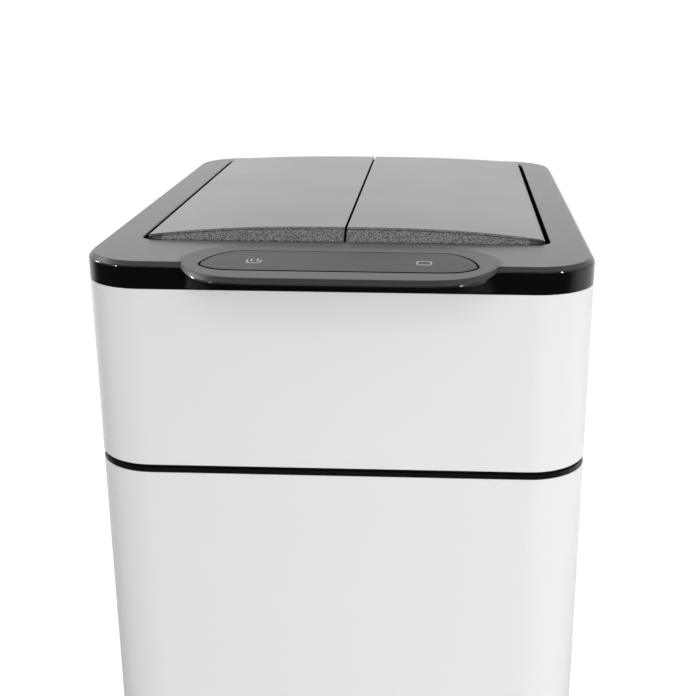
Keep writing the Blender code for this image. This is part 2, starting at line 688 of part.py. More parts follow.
def build_lid_frame(head, finishes):
    """The black top plate with its skirt, tongue, collar, bosses and rest ledges."""
    skirt_bottom = RING_TOP + TOUCH
    bevel_low = LID_TOP - CHAMFER
    frame = solid("lid_frame", loft([
        (rounded_rect(0), skirt_bottom), (rounded_rect(0), bevel_low), (rounded_rect(CHAMFER), LID_TOP),
    ]), finishes["plastic"], head)
    join(frame, solid("tongue", loft([
        (stadium(0), TONGUE_BOTTOM), (stadium(0), bevel_low), (stadium(TONGUE_BEVEL), LID_TOP),
    ])))
    cut(frame, solid("hollow", loft([
        (rounded_rect(SKIRT_WALL), skirt_bottom - OVERRUN), (rounded_rect(SKIRT_WALL), PLATE_UNDERSIDE),
    ])))
    cut(frame, solid("tongue_hollow", loft([
        (stadium(SKIRT_WALL), tongue_roof()), (stadium(SKIRT_WALL), PLATE_UNDERSIDE),
    ])))
    locator = LOCATOR_INSET + LOCATOR_WALL
    locator_top = skirt_bottom + LOCATOR_OVERLAP
    join(frame, solid("locator", hoop([
        (LOCATOR_INSET, RING_TOP - LOCATOR_DEPTH), (LOCATOR_INSET, locator_top),
        (locator, locator_top), (locator, RING_TOP - LOCATOR_DEPTH),
    ], rounded_rect)))
    collar_top = PLATE_UNDERSIDE + FUSE
    join(frame, solid("collar", hoop([
        (-COLLAR_SETBACK, COLLAR_BOTTOM), (-COLLAR_SETBACK, collar_top),
        (-COLLAR_SETBACK - COLLAR_WALL, collar_top), (-COLLAR_SETBACK - COLLAR_WALL, COLLAR_BOTTOM),
    ], opening_outline)))
    ledge_top = LID_TOP - PLATE + FUSE
    join(frame, solid("window_ledge", hoop([
        (-WINDOW_LEDGE, window_seat() - WINDOW_LEDGE_THICKNESS), (-WINDOW_LEDGE, ledge_top),
        (WINDOW_LEDGE, ledge_top), (WINDOW_LEDGE, window_seat() - WINDOW_LEDGE_THICKNESS),
    ], lambda inset: eye(-inset))))
    cut(frame, solid("opening", loft([
        (opening_outline(0), PLATE_UNDERSIDE - FUSE), (opening_outline(0), LID_TOP + OVERRUN),
    ])))
    cut(frame, solid("window_hole", loft([
        (eye(WINDOW_GROOVE), window_seat()), (eye(WINDOW_GROOVE), LID_TOP + OVERRUN),
    ])))
    for y_wall, inward in ((COLLAR_FRONT_INNER, 1), (COLLAR_BACK_INNER, -1)):
        ends = sorted((y_wall - inward * FUSE, y_wall + inward * REST_LEDGE_REACH))
        low = ledge_bottom()
        join(frame, solid("rest_ledge", block(
            -REST_LEDGE_HALF, REST_LEDGE_HALF, *ends, low, low + REST_LEDGE_THICKNESS,
        )))
    for x, y in boss_places():
        join(frame, solid("boss", post(x, y, [
            (BOSS_RADIUS, HOUSING_FLOOR_TOP + TOUCH), (BOSS_RADIUS, PLATE_UNDERSIDE + FUSE),
        ], 16)))
        cut(frame, solid("boss_bore", post(x, y, [
            (BOSS_BORE, HOUSING_FLOOR_TOP - OVERRUN), (BOSS_BORE, HOUSING_FLOOR_TOP + BOSS_BORE_DEPTH),
        ], 12)))
    for name, side, front, back in hinge_places():
        hole = SHAFT_RADIUS + TOUCH + BUSH_WALL + TOUCH
        cut(frame, solid("bush_hole", rod_y(side * HINGE_X, HINGE_Z, hole, front - TOUCH, back + TOUCH, 24)))
    return frame


def window_seat():
    """Height of the ledge that the window lies on."""
    return LID_TOP - WINDOW_SINK - WINDOW_THICKNESS - TOUCH


def tongue_roof():
    """Height above which the skirt is cut away for what lies in the tongue."""
    return LID_TOP - TONGUE_ROOF_DROP - TOUCH


def ledge_bottom():
    """Underside of the ledges that carry the rest pads."""
    return CARRIER_BOTTOM - TOUCH - REST_PAD_THICKNESS - TOUCH - REST_LEDGE_THICKNESS


def build_head_shell(head, finishes):
    """The steel ring of the head, its liner and the cover below the tongue."""
    solid("upper_ring", hoop([
        (0, RING_BOTTOM), (0, RING_TOP), (SHEET, RING_TOP), (SHEET, RING_BOTTOM + SHEET),
        (HEM_DEPTH, RING_BOTTOM + SHEET), (HEM_DEPTH, RING_BOTTOM),
    ], rounded_rect), finishes["steel"], head)
    inner = -COLLAR_SETBACK - COLLAR_WALL - TOUCH
    top = COLLAR_BOTTOM + LINER_OVERLAP
    solid("throat_liner", hoop([
        (inner, LINER_BOTTOM), (inner, top), (inner - LINER_WALL, top), (inner - LINER_WALL, LINER_BOTTOM),
    ], opening_outline), finishes["plastic"], head)

    front = TONGUE_FRONT + TOUCH
    back = -HALF_DEPTH - TOUCH
    high = TONGUE_BOTTOM - TOUCH
    low = high - UNDERSIDE_RISE
    cover = solid("tongue_underside", along_x([
        (front, high - UNDERSIDE_THICKNESS), (back, low), (back, low + UNDERSIDE_THICKNESS),
        (front + UNDERSIDE_THICKNESS * 2, high), (front, high),
    ], -TONGUE_HALF_LENGTH, TONGUE_HALF_LENGTH), finishes["plastic"], head)
    keep(cover, solid("plan", loft([(stadium(TOUCH), low - OVERRUN), (stadium(TOUCH), high + OVERRUN)])))


def build_sensor(head, finishes):
    """The window and what lies under it."""
    solid("sensor_window", loft([
        (eye(0), window_seat() + TOUCH), (eye(0), LID_TOP - WINDOW_SINK),
    ]), finishes["window"], head)
    board_top = BOARD_BOTTOM + BOARD_THICKNESS
    board = solid("control_board", block(
        -BOARD_HALF_LENGTH, BOARD_HALF_LENGTH, BOARD_FRONT, BOARD_FRONT + BOARD_DEPTH,
        BOARD_BOTTOM, board_top,
    ), finishes["board"], head)
    middle = BOARD_FRONT + BOARD_DEPTH / 2
    seat = board_top + TOUCH
    for name, x in (("open_touch_pad", -PAD_SPREAD), ("close_touch_pad", PAD_SPREAD)):
        solid(name, post(x, middle, [(PAD_RADIUS, seat), (PAD_RADIUS, seat + PAD_THICKNESS)]), finishes["copper"], head)
    for name, x in (("ir_emitter", -LED_SPREAD), ("ir_receiver", LED_SPREAD)):
        solid(name, post(x, middle, [
            (LED_RADIUS, seat), (LED_RADIUS, seat + LED_HEIGHT * 2 / 3), (LED_RADIUS / 2, seat + LED_HEIGHT),
        ], 16), finishes["window"], head)
    for name, x, y in board_screw_places():
        hole = BOARD_SCREW_RADIUS + TOUCH
        cut(board, solid("hole", post(x, y, [(hole, BOARD_BOTTOM - OVERRUN), (hole, board_top + OVERRUN)], 12)))
        solid(name, post(x, y, [
            (BOARD_SCREW_RADIUS, seat - BOARD_SCREW_LENGTH), (BOARD_SCREW_RADIUS, seat),
            (BOARD_SCREW_HEAD, seat), (BOARD_SCREW_HEAD, seat + BOARD_SCREW_HEAD_HEIGHT),
        ], 12), finishes["screw"], head)


def board_screw_places():
    """The board's two screws: name and place."""
    y = BOARD_FRONT + BOARD_DEPTH - 2 * BOARD_SCREW_HEAD
    return [("board_screw_left", -BOARD_SCREW_SPREAD, y), ("board_screw_right", BOARD_SCREW_SPREAD, y)]


def build_hinges(head, finishes):
    """Bushings in the collar and the pads that the closed flaps lie on."""
    for name, side, front, back in hinge_places():
        inner = SHAFT_RADIUS + TOUCH
        solid(name, tube_y(side * HINGE_X, HINGE_Z, inner + BUSH_WALL, inner, front, back), finishes["bush"], head)
    seat = ledge_bottom() + REST_LEDGE_THICKNESS + TOUCH
    for name, y_wall, inward in (("front_rest_pad", COLLAR_FRONT_INNER, 1), ("rear_rest_pad", COLLAR_BACK_INNER, -1)):
        tip = y_wall + inward * REST_LEDGE_REACH
        ends = sorted((tip, tip - inward * REST_PAD_DEPTH))
        solid(name, block(-REST_PAD_HALF, REST_PAD_HALF, *ends, seat, seat + REST_PAD_THICKNESS), finishes["rubber"], head)


def eased_arch(drop):
    """The arch across one flap, eased down at its outer side and lowered by the drop."""
    line = arch_line(FLAP_CENTRE_GAP, FLAP_OUTER - COVER_EASE, drop)
    return line + [(FLAP_OUTER, line[-1][1] - COVER_EASE)]


def flap_side_view():
    """The closed flap seen from the side: its two ends lean in above the lid plate."""
    reach, rise = FLAP_LEAN * FLAP_PLANE_REACH, FLAP_RIDGE_RISE * FLAP_PLANE_REACH
    low = CARRIER_BOTTOM - OVERRUN
    return [
        (FLAP_FRONT, low), (FLAP_FRONT, LID_TOP), (FLAP_FRONT + reach, LID_TOP + rise),
        (FLAP_BACK - reach, LID_TOP + rise), (FLAP_BACK, LID_TOP), (FLAP_BACK, low),
    ]


def trim_to_flap(piece, side):
    """Cuts a flap's piece to its leaning ends and its plan, whose outer corners are round."""
    low, high = CARRIER_BOTTOM - OVERRUN, LID_TOP + FLAP_RIDGE_RISE * FLAP_PLANE_REACH
    inner, outer = sorted((side * FLAP_CENTRE_GAP, side * FLAP_OUTER))
    keep(piece, solid("ends", along_x(flap_side_view(), inner - OVERRUN, outer + OVERRUN)))
    plan = rounded_box(*sorted((-side * FLAP_OUTER, side * FLAP_OUTER)), FLAP_FRONT, FLAP_BACK, FLAP_CORNER)
    keep(piece, solid("plan", loft([(plan, low), (plan, high)])))


def build_flap_cover(side_name, side, axis, finishes):
    """The smooth skin of one flap, thin where it runs out over the grained ends."""
    inner, outer = FLAP_CENTRE_GAP, FLAP_OUTER
    lip = LID_TOP + FLAP_SIDE_RISE - COVER_LIP
    top = eased_arch(0)
    under = arch_line(inner + COVER_THICKNESS, outer - COVER_THICKNESS, COVER_THICKNESS)
    centre_lip = LID_TOP + FLAP_RIDGE_RISE - COVER_LIP - COVER_EASE
    section = top + [(outer, lip), (outer - COVER_THICKNESS, lip)] + list(reversed(under))
    section += [(inner + COVER_THICKNESS, centre_lip), (inner, centre_lip)]
    front, back = FLAP_FRONT + FLAP_LEAN + TOUCH, FLAP_BACK - FLAP_LEAN - TOUCH
    cover = solid(f"{side_name}_flap_cover", along_y(sided(section, side), front, back), finishes["satin"], axis)
    edge = sided(top + list(reversed(eased_arch(COVER_EDGE))), side)
    join(cover, solid("edge", along_y(edge, FLAP_FRONT, front + FUSE)))
    join(cover, solid("edge", along_y(edge, back - FUSE, FLAP_BACK)))
    trim_to_flap(cover, side)


def build_flap(side_name, side, axis, finishes):
    """One flap: smooth cover, grained carrier, shaft, pin and toothed sector."""
    build_flap_cover(side_name, side, axis, finishes)
    inner, outer = FLAP_CENTRE_GAP, FLAP_OUTER
    skin_front, skin_back = FLAP_FRONT + FLAP_LEAN, FLAP_BACK - FLAP_LEAN
    full = [(inner, CARRIER_BOTTOM)] + eased_arch(COVER_EDGE + TOUCH) + [(outer, CARRIER_BOTTOM)]
    narrow_in, narrow_out = inner + COVER_THICKNESS + TOUCH, outer - COVER_THICKNESS - TOUCH
    core = [(narrow_in, CARRIER_BOTTOM)] + arch_line(narrow_in, narrow_out, COVER_THICKNESS + TOUCH)
    core += [(narrow_out, CARRIER_BOTTOM)]
    carrier = solid(f"{side_name}_flap_carrier", along_y(
        sided(core, side), skin_front - CARRIER_END / 2, skin_back + CARRIER_END / 2,
    ), finishes["grain"], axis)
    for span in ((FLAP_FRONT, skin_front), (skin_back, FLAP_BACK)):
        join(carrier, solid("cap", along_y(sided(full, side), *span)))
    trim_to_flap(carrier, side)
    ceiling = LID_TOP + FLAP_RIDGE_RISE + OVERRUN
    pocket = [side * (narrow_in + CARRIER_WALL), side * (HINGE_X - CARRIER_END)]
    cut(carrier, solid("pocket", block(
        min(pocket), max(pocket), skin_front + CARRIER_WALL, skin_back - CARRIER_WALL,
        CARRIER_BOTTOM + CARRIER_WALL, ceiling,
    )))
    x = side * HINGE_X
    bore = SHAFT_RADIUS + TOUCH
    front_bore = FLAP_FRONT + SHAFT_INTO_FLAP
    back_bore = FLAP_BACK - SHAFT_INTO_FLAP
    cut(carrier, solid("bore", rod_y(x, HINGE_Z, bore, FLAP_FRONT - OVERRUN, front_bore)))
    cut(carrier, solid("bore", rod_y(x, HINGE_Z, bore, back_bore, FLAP_BACK + OVERRUN)))
    solid(f"{side_name}_front_shaft", rod_y(x, HINGE_Z, SHAFT_RADIUS, GEAR_Y_FRONT - FUSE, front_bore - TOUCH),
          finishes["screw"], axis)
    solid(f"{side_name}_rear_pin", rod_y(x, HINGE_Z, SHAFT_RADIUS, back_bore + TOUCH, COLLAR_BACK_OUTER + FUSE),
          finishes["screw"], axis)

    tooth = 2 * math.pi / SECTOR_TEETH
    points = []
    for i in range(SECTOR_TEETH_CUT):
        points += tooth_points(SECTOR_TEETH, -math.pi / 2 + tooth * (i - SECTOR_FIRST_PITCHES))
    end_angle, start_angle = points[-1][1], points[0][1]
    gap = 2 * math.pi - (end_angle - start_angle)
    hub_steps = 12
    for i in range(1, hub_steps):
        points.append((SECTOR_HUB_RADIUS, end_angle + gap * i / hub_steps))
    outline = sided(polar(HINGE_X, HINGE_Z, points), side)
    gear = solid(f"{side_name}_flap_gear", along_y(outline, GEAR_Y_FRONT, GEAR_Y_BACK), finishes["gear"], axis)
    cut(gear, solid("bore", rod_y(x, HINGE_Z, bore, GEAR_Y_FRONT - OVERRUN, GEAR_Y_BACK + OVERRUN)))


def build_racks(left_slide, right_slide, finishes):
    """The two stepped racks, which the pinion drives in opposite ways."""
    spare = RACK_SPARE_TEETH * TOOTH_PITCH
    outer_first, outer_last = tooth_span(HINGE_X, HINGE_X - spare, HINGE_X + RACK_TRAVEL)
    centre_first, centre_last = tooth_span(0, -spare / 2, RACK_TRAVEL)
    link = PINION_RADIUS + ADDENDUM + RACK_LINK_CLEAR + RACK_TRAVEL
    low_body = RACK_PITCH_Z - DEDENDUM - RACK_BODY
    low_top = RACK_PITCH_Z - DEDENDUM

    upper_pitch = PINION_Z + PINION_RADIUS
    upper_root = upper_pitch + DEDENDUM
    upper_top = upper_root + RACK_BODY
    over = rack_teeth(centre_first, centre_last, upper_pitch, -1)
    outer = rack_teeth(outer_first, outer_last, RACK_PITCH_Z, 1)
    section = [(centre_first, upper_root)] + over + [(link, upper_root), (link, low_body), (outer_last, low_body)]
    section += [(outer_last, low_top)] + list(reversed(outer)) + [(link + RACK_LINK, low_top)]
    section += [(link + RACK_LINK, upper_top), (centre_first, upper_top)]
    solid("right_rack", along_y(section, GEAR_Y_FRONT, GEAR_Y_BACK), finishes["gear"], right_slide)

    lower_pitch = PINION_Z - PINION_RADIUS
    lower_root = lower_pitch - DEDENDUM
    lower_bottom = lower_root - RACK_BODY
    below = rack_teeth(centre_first, centre_last, lower_pitch, 1)
    section = [(centre_first, lower_bottom), (link + RACK_LINK, lower_bottom), (link + RACK_LINK, low_body)]
    section += [(outer_last, low_body), (outer_last, low_top)] + list(reversed(outer)) + [(link, low_top)]
    section += [(link, lower_root)] + list(reversed(below)) + [(centre_first, lower_root)]
    solid("left_rack", along_y(sided(section, -1), GEAR_Y_FRONT, GEAR_Y_BACK), finishes["gear"], left_slide)


def build_pinion(axis, finishes):
    """The driven pinion with its journals."""
    points = []
    for i in range(PINION_TEETH):
        points += tooth_points(PINION_TEETH, -math.pi / 2 + 2 * math.pi * (i + 1 / 2) / PINION_TEETH)
    pinion = solid("motor_pinion", along_y(polar(0, PINION_Z, points), GEAR_Y_FRONT, GEAR_Y_BACK),
                   finishes["gear"], axis)
    join(pinion, solid("journal", rod_y(
        0, PINION_Z, PINION_JOURNAL, GEAR_Y_FRONT - PINION_JOURNAL_FRONT, GEAR_Y_BACK + PINION_JOURNAL_BACK,
    )))


def build_housing(head, finishes):
    """The tray under the lid's front with the motor, gearbox and screws."""
    tray = solid("drive_housing", loft([
        (rounded_rect(HOUSING_INSET), HOUSING_BOTTOM), (rounded_rect(HOUSING_INSET), HOUSING_TOP),
    ]), finishes["plastic"], head)
    side = HALF_WIDTH + OVERRUN
    front = -HALF_DEPTH - OVERRUN
    keep(tray, solid("front_part", block(
        -side, side, front, HOUSING_BACK, HOUSING_BOTTOM - OVERRUN, HOUSING_TOP + OVERRUN,
    )))
    hollow = solid("hollow", loft([
        (rounded_rect(HOUSING_INSET + HOUSING_WALL), HOUSING_FLOOR_TOP),
        (rounded_rect(HOUSING_INSET + HOUSING_WALL), HOUSING_TOP + OVERRUN),
    ]))
    keep(hollow, solid("front_part", block(
        -side, side, front, HOUSING_BACK - HOUSING_WALL, HOUSING_FLOOR_TOP - OVERRUN, HOUSING_TOP + 2 * OVERRUN,
    )))
    cut(tray, hollow)
    cut(tray, solid("back_drop", block(
        -side, side, HOUSING_BACK - HOUSING_WALL - TOUCH, HOUSING_BACK + OVERRUN,
        COLLAR_BOTTOM - TOUCH, HOUSING_TOP + OVERRUN,
    )))
    half = WINDOW_HALF_LENGTH + WINDOW_LEDGE + LEDGE_SPARE
    cut(tray, solid("board_window", block(
        -half, half, front, -HALF_DEPTH + HOUSING_INSET + HOUSING_WALL + TOUCH,
        BOARD_BOTTOM - FUSE, HOUSING_TOP + OVERRUN,
    )))
    rail_top = RACK_PITCH_Z - DEDENDUM - RACK_BODY - TOUCH
    for way in (-1, 1):
        rail_end = HALF_WIDTH - GUIDE_END_INSET
        ends = sorted((way * (rail_end - GUIDE_LENGTH), way * rail_end))
        join(tray, solid("rail", block(
            *ends, GEAR_Y_FRONT, GEAR_Y_BACK, HOUSING_FLOOR_TOP - FUSE, rail_top,
        )))
    post_top = BOARD_BOTTOM - TOUCH
    for _, x, y in board_screw_places():
        join(tray, solid("post", post(x, y, [
            (BOARD_POST_RADIUS, HOUSING_FLOOR_TOP - FUSE), (BOARD_POST_RADIUS, post_top),
        ], 16)))
        bore = BOARD_SCREW_RADIUS + TOUCH
        cut(tray, solid("bore", post(x, y, [
            (bore, post_top - BOARD_POST_BORE_DEPTH), (bore, post_top + OVERRUN),
        ], 12)))
    screw_seat = HOUSING_BOTTOM - TOUCH
    for number, (x, y) in enumerate(boss_places(), 1):
        hole = BOSS_BORE + TOUCH
        cut(tray, solid("hole", post(x, y, [
            (hole, HOUSING_BOTTOM - OVERRUN), (hole, HOUSING_FLOOR_TOP + FUSE),
        ], 12)))
        solid(f"housing_screw_{number}", post(x, y, [
            (SCREW_HEAD_RADIUS, screw_seat - SCREW_HEAD), (SCREW_HEAD_RADIUS, screw_seat),
            (SCREW_RADIUS, screw_seat), (SCREW_RADIUS, screw_seat + SCREW_LENGTH),
        ], 12), finishes["screw"], head)
    lead_y = BOARD_FRONT + BOARD_DEPTH / 2
    cut(tray, solid("lead_hole", post(BATTERY_LEAD_X, lead_y, [
        (BATTERY_LEAD_HOLE, HOUSING_BOTTOM - OVERRUN), (BATTERY_LEAD_HOLE, HOUSING_FLOOR_TOP + OVERRUN),
    ], 12)))

    gearbox = solid("gearbox", block(
        -GEARBOX_HALF_WIDTH, GEARBOX_HALF_WIDTH, GEARBOX_FRONT, GEARBOX_BACK,
        HOUSING_FLOOR_TOP + TOUCH, HOUSING_FLOOR_TOP + TOUCH + GEARBOX_HEIGHT,
    ), finishes["plastic"], head)
    cut(gearbox, solid("hole", rod_y(
        0, PINION_Z, PINION_JOURNAL + TOUCH, GEARBOX_BACK - JOURNAL_HOLE_DEPTH, GEARBOX_BACK + OVERRUN,
    )))
    can_back = GEARBOX_FRONT - TOUCH
    solid("motor_can", rod_y(0, MOTOR_Z, MOTOR_RADIUS, can_back - MOTOR_LENGTH, can_back, 32), finishes["screw"], head)


def build_battery(head, door_axis, finishes):
    """Battery box, cells, contact plates and the door below them."""
    back = BATTERY_Y_BACK
    box = solid("battery_box", block(
        BATTERY_X_LEFT, BATTERY_X_RIGHT, BATTERY_Y_FRONT, back, BATTERY_BOTTOM, BATTERY_TOP,
    ), finishes["plastic"], head)
    cut(box, solid("hollow", block(
        BATTERY_X_LEFT + BATTERY_WALL, BATTERY_X_RIGHT - BATTERY_WALL, BATTERY_Y_FRONT + BATTERY_WALL,
        back - BATTERY_WALL, BATTERY_BOTTOM - OVERRUN, BATTERY_TOP - BATTERY_ROOF,
    )))
    middle_y = (BATTERY_Y_FRONT + back) / 2
    middle_x = (BATTERY_X_LEFT + BATTERY_X_RIGHT) / 2
    number = 0
    for row in (-1, 1):
        y = middle_y + row * CELL_PITCH / 2
        for place in (-1, 1):
            number += 1
            full = CELL_LENGTH + CELL_NUB
            start = middle_x + (place - 1) / 2 * full + (place * TOUCH - row * TOUCH) / 2
            flip = row
            ends = [(CELL_RADIUS, 0), (CELL_RADIUS, CELL_LENGTH), (CELL_NUB_RADIUS, CELL_LENGTH),
                    (CELL_NUB_RADIUS, full)]
            bm = loft([(circle(0, 0, radius, 20), z) for radius, z in ends])
            turn = Matrix.Rotation(math.radians(90) * flip, 4, "Y")
            shift = start if flip > 0 else start + full
            bmesh.ops.transform(bm, matrix=Matrix.Translation((shift, y, CELL_Z)) @ turn, verts=bm.verts)
            solid(f"aa_cell_{number}", bm, finishes["cell"], head)
    for name, x_wall, inward in (
        ("left_contact_plate", BATTERY_X_LEFT + BATTERY_WALL, 1),
        ("right_contact_plate", BATTERY_X_RIGHT - BATTERY_WALL, -1),
    ):
        near = x_wall + inward * TOUCH
        far = near + inward * CONTACT_THICKNESS
        plate = solid(name, block(
            *sorted((near, far)), BATTERY_Y_FRONT + BATTERY_WALL + TOUCH, back - BATTERY_WALL - TOUCH,
            BATTERY_BOTTOM + TOUCH, BATTERY_TOP - BATTERY_ROOF - TOUCH,
        ), finishes["spring"], head)
        for row in (-1, 1):
            y = middle_y + row * CELL_PITCH / 2
            bm = loft([
                (circle(0, 0, CONTACT_BOSS, 12), -CONTACT_THICKNESS / 2),
                (circle(0, 0, CONTACT_BOSS / 2, 12), CONTACT_BOSS_HEIGHT),
            ])
            turn = Matrix.Rotation(math.radians(90) * inward, 4, "Y")
            bmesh.ops.transform(bm, matrix=Matrix.Translation((far, y, CELL_Z)) @ turn, verts=bm.verts)
            join(plate, solid("boss", bm))

    door = solid("battery_door", block(
        BATTERY_X_LEFT, BATTERY_X_RIGHT, BATTERY_Y_FRONT, back, DOOR_TOP - DOOR_THICKNESS, DOOR_TOP,
    ), finishes["plastic"], door_axis)
    return door


def build_switch(head, rocker_axis, finishes):
    """Power switch below the housing: its case and its rocker."""
    half_x, half_y = SWITCH_LENGTH / 2, SWITCH_WIDTH / 2
    case = solid("switch_housing", block(
        SWITCH_X - half_x, SWITCH_X + half_x, SWITCH_Y - half_y, SWITCH_Y + half_y, SWITCH_BOTTOM, SWITCH_TOP,
    ), finishes["plastic"], head)
    cut(case, solid("hollow", block(
        SWITCH_X - half_x + SWITCH_WALL, SWITCH_X + half_x - SWITCH_WALL,
        SWITCH_Y - half_y + SWITCH_WALL, SWITCH_Y + half_y - SWITCH_WALL,
        SWITCH_BOTTOM - OVERRUN, SWITCH_TOP - SWITCH_ROOF,
    )))
    reach = ROCKER_LENGTH / 2
    outline = [
        (-reach, -ROCKER_EDGE), (0, -ROCKER_CREST), (reach, -ROCKER_EDGE), (reach, ROCKER_EDGE), (-reach, ROCKER_EDGE),
    ]
    bm = along_y(outline, -ROCKER_WIDTH / 2, ROCKER_WIDTH / 2)
    place = Matrix.Translation((SWITCH_X, SWITCH_Y, SWITCH_BOTTOM + ROCKER_EDGE / 2))
    bmesh.ops.transform(bm, matrix=place @ Matrix.Rotation(-ROCKER_TILT, 4, "Y"), verts=bm.verts)
    solid("switch_rocker", bm, finishes["rocker"], rocker_axis)


def lead(name, points, head, finish):
    """A short round lead through hand-chosen points, as a mesh tube with filled ends."""
    curve = bpy.data.curves.new(name, "CURVE")
    curve.dimensions = "3D"
    curve.bevel_depth = LEAD_RADIUS
    curve.bevel_resolution = 2
    curve.use_fill_caps = True
    line = curve.splines.new("POLY")
    line.points.add(len(points) - 1)
    for spot, place in zip(line.points, points):
        spot.co = (*place, 1.0)
    curve.materials.append(finish)
    piece = bpy.data.objects.new(name, curve)
    bpy.context.collection.objects.link(piece)
    piece.parent = head


def build_leads(head, finishes):
    """Battery lead down through the housing floor, and motor lead to the can's side."""
    y = BOARD_FRONT + BOARD_DEPTH / 2
    top = BOARD_BOTTOM - TOUCH
    bottom = BATTERY_TOP + TOUCH
    points = []
    for i in range(LEAD_STEPS + 1):
        share = i / LEAD_STEPS
        bow = BATTERY_LEAD_BOW * math.sin(math.pi * min(1.0, share * 5 / 4)) ** 2
        points.append((BATTERY_LEAD_X + bow, y, top + (bottom - top) * share))
    lead("battery_lead", points, head, finishes["cell"])
    radius_x = MOTOR_LEAD_X - MOTOR_RADIUS - TOUCH * 2
    drop = top - MOTOR_Z
    can_y = GEARBOX_FRONT - MOTOR_LENGTH / 2
    points = []
    for i in range(LEAD_STEPS + 1):
        angle = math.pi / 2 * i / LEAD_STEPS
        x = MOTOR_LEAD_X - radius_x * (1 - math.cos(angle))
        points.append((x, can_y, top - drop * math.sin(angle)))
    lead("motor_lead", points, head, finishes["cell"])


def shade(pieces):
    """Shades round faces smooth and keeps real edges sharp."""
    for piece in pieces:
        if piece.type == "MESH":
            piece.data.shade_smooth()
            piece.data.set_sharp_from_angle(angle=math.radians(30))


def main():
    """Builds the bin."""
    start_clean()
    finishes = {
        "steel": principled("white_powder_coated_steel", (0.78, 0.78, 0.79), 0.28),
        "plastic": principled("black_abs", (0.018, 0.018, 0.019), 0.32),
        "satin": principled("satin_black_flap", (0.035, 0.035, 0.036), 0.38),
        "grain": principled("grained_black_abs", (0.05, 0.05, 0.05), 0.62),
        "window": principled("dark_acrylic", (0.02, 0.02, 0.022), 0.12),
        "rubber": principled("rubber", (0.03, 0.03, 0.03), 0.8),
        "board": principled("green_board", (0.02, 0.16, 0.06), 0.5),
        "copper": principled("copper_pad", (0.72, 0.38, 0.2), 0.35, 1.0),
        "screw": principled("zinc_steel", (0.62, 0.62, 0.6), 0.32, 1.0),
        "spring": principled("nickel_contact", (0.7, 0.68, 0.62), 0.3, 1.0),
        "bush": principled("white_nylon", (0.75, 0.74, 0.7), 0.45),
        "gear": principled("white_acetal", (0.8, 0.79, 0.75), 0.4),
        "cell": principled("cell_wrap", (0.12, 0.13, 0.3), 0.4),
        "rocker": principled("switch_rocker", (0.03, 0.03, 0.03), 0.4),
    }
    bin_empty = empty("bin", (0, TONGUE_OVERHANG / 2, 0))
    head = empty("head_lift", (0, 0, RING_BOTTOM), bin_empty)
    bag_lift = empty("bag_ring_lift", (0, 0, SHELL_TOP), bin_empty)
    left_axis = empty("left_flap_axis", (-HINGE_X, 0, HINGE_Z), bin_empty)
    right_axis = empty("right_flap_axis", (HINGE_X, 0, HINGE_Z), bin_empty)
    left_slide = empty("left_rack_slide", (-HINGE_X, GEAR_Y_FRONT, RACK_PITCH_Z), bin_empty)
    right_slide = empty("right_rack_slide", (HINGE_X, GEAR_Y_FRONT, RACK_PITCH_Z), bin_empty)
    pinion_axis = empty("pinion_axis", (0, GEAR_Y_FRONT, PINION_Z), bin_empty)
    door_axis = empty("battery_door_axis", (0, BATTERY_Y_BACK, DOOR_TOP - DOOR_THICKNESS), bin_empty)
    rocker_axis = empty("switch_axis", (SWITCH_X, SWITCH_Y, SWITCH_BOTTOM + ROCKER_EDGE / 2), bin_empty)

    build_body(bin_empty, finishes)
    build_bag_ring(bag_lift, finishes)
    build_head_shell(head, finishes)
    build_lid_frame(head, finishes)
    build_sensor(head, finishes)
    build_hinges(head, finishes)
    build_housing(head, finishes)
    build_flap("left", -1, left_axis, finishes)
    build_flap("right", 1, right_axis, finishes)
    build_racks(left_slide, right_slide, finishes)
    build_pinion(pinion_axis, finishes)
    build_battery(head, door_axis, finishes)
    build_switch(head, rocker_axis, finishes)
    build_leads(bin_empty, finishes)
    shade(bpy.data.objects)


if __name__ == "__main__":
    main()
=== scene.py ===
"""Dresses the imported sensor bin: white steel bands, black lid frame, butterfly flaps and sensor tongue."""

from __future__ import annotations

import json
import logging
import math
from collections.abc import Callable, Iterator
from contextlib import contextmanager
from dataclasses import dataclass, field
from enum import Enum
from typing import ClassVar

import bmesh
import bpy
from mathutils import Matrix, Vector

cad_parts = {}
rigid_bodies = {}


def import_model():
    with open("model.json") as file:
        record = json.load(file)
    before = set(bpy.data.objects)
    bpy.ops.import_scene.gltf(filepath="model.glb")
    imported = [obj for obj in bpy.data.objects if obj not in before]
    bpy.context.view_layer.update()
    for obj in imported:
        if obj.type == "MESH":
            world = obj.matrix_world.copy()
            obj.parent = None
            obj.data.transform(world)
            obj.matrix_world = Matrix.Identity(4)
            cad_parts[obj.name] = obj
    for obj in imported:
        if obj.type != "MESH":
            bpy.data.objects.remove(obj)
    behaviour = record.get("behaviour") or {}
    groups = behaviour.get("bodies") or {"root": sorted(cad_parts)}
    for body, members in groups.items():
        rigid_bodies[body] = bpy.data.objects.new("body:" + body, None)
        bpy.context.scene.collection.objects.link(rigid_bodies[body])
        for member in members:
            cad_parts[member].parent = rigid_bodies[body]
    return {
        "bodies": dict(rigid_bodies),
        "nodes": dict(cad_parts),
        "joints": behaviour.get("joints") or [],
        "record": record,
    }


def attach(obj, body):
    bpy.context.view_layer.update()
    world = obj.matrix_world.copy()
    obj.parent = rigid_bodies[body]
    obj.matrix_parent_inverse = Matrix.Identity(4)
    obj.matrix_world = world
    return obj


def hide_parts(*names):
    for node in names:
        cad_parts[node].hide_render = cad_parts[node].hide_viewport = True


LOG = logging.getLogger("sensor_bin")

Point = tuple[float, float, float]
Outline = list[tuple[float, float]]

# How far a cutting tool reaches past what it cuts, and how far two pieces reach into each other where they join.
OVERRUN = 0.01
LAP = 0.001
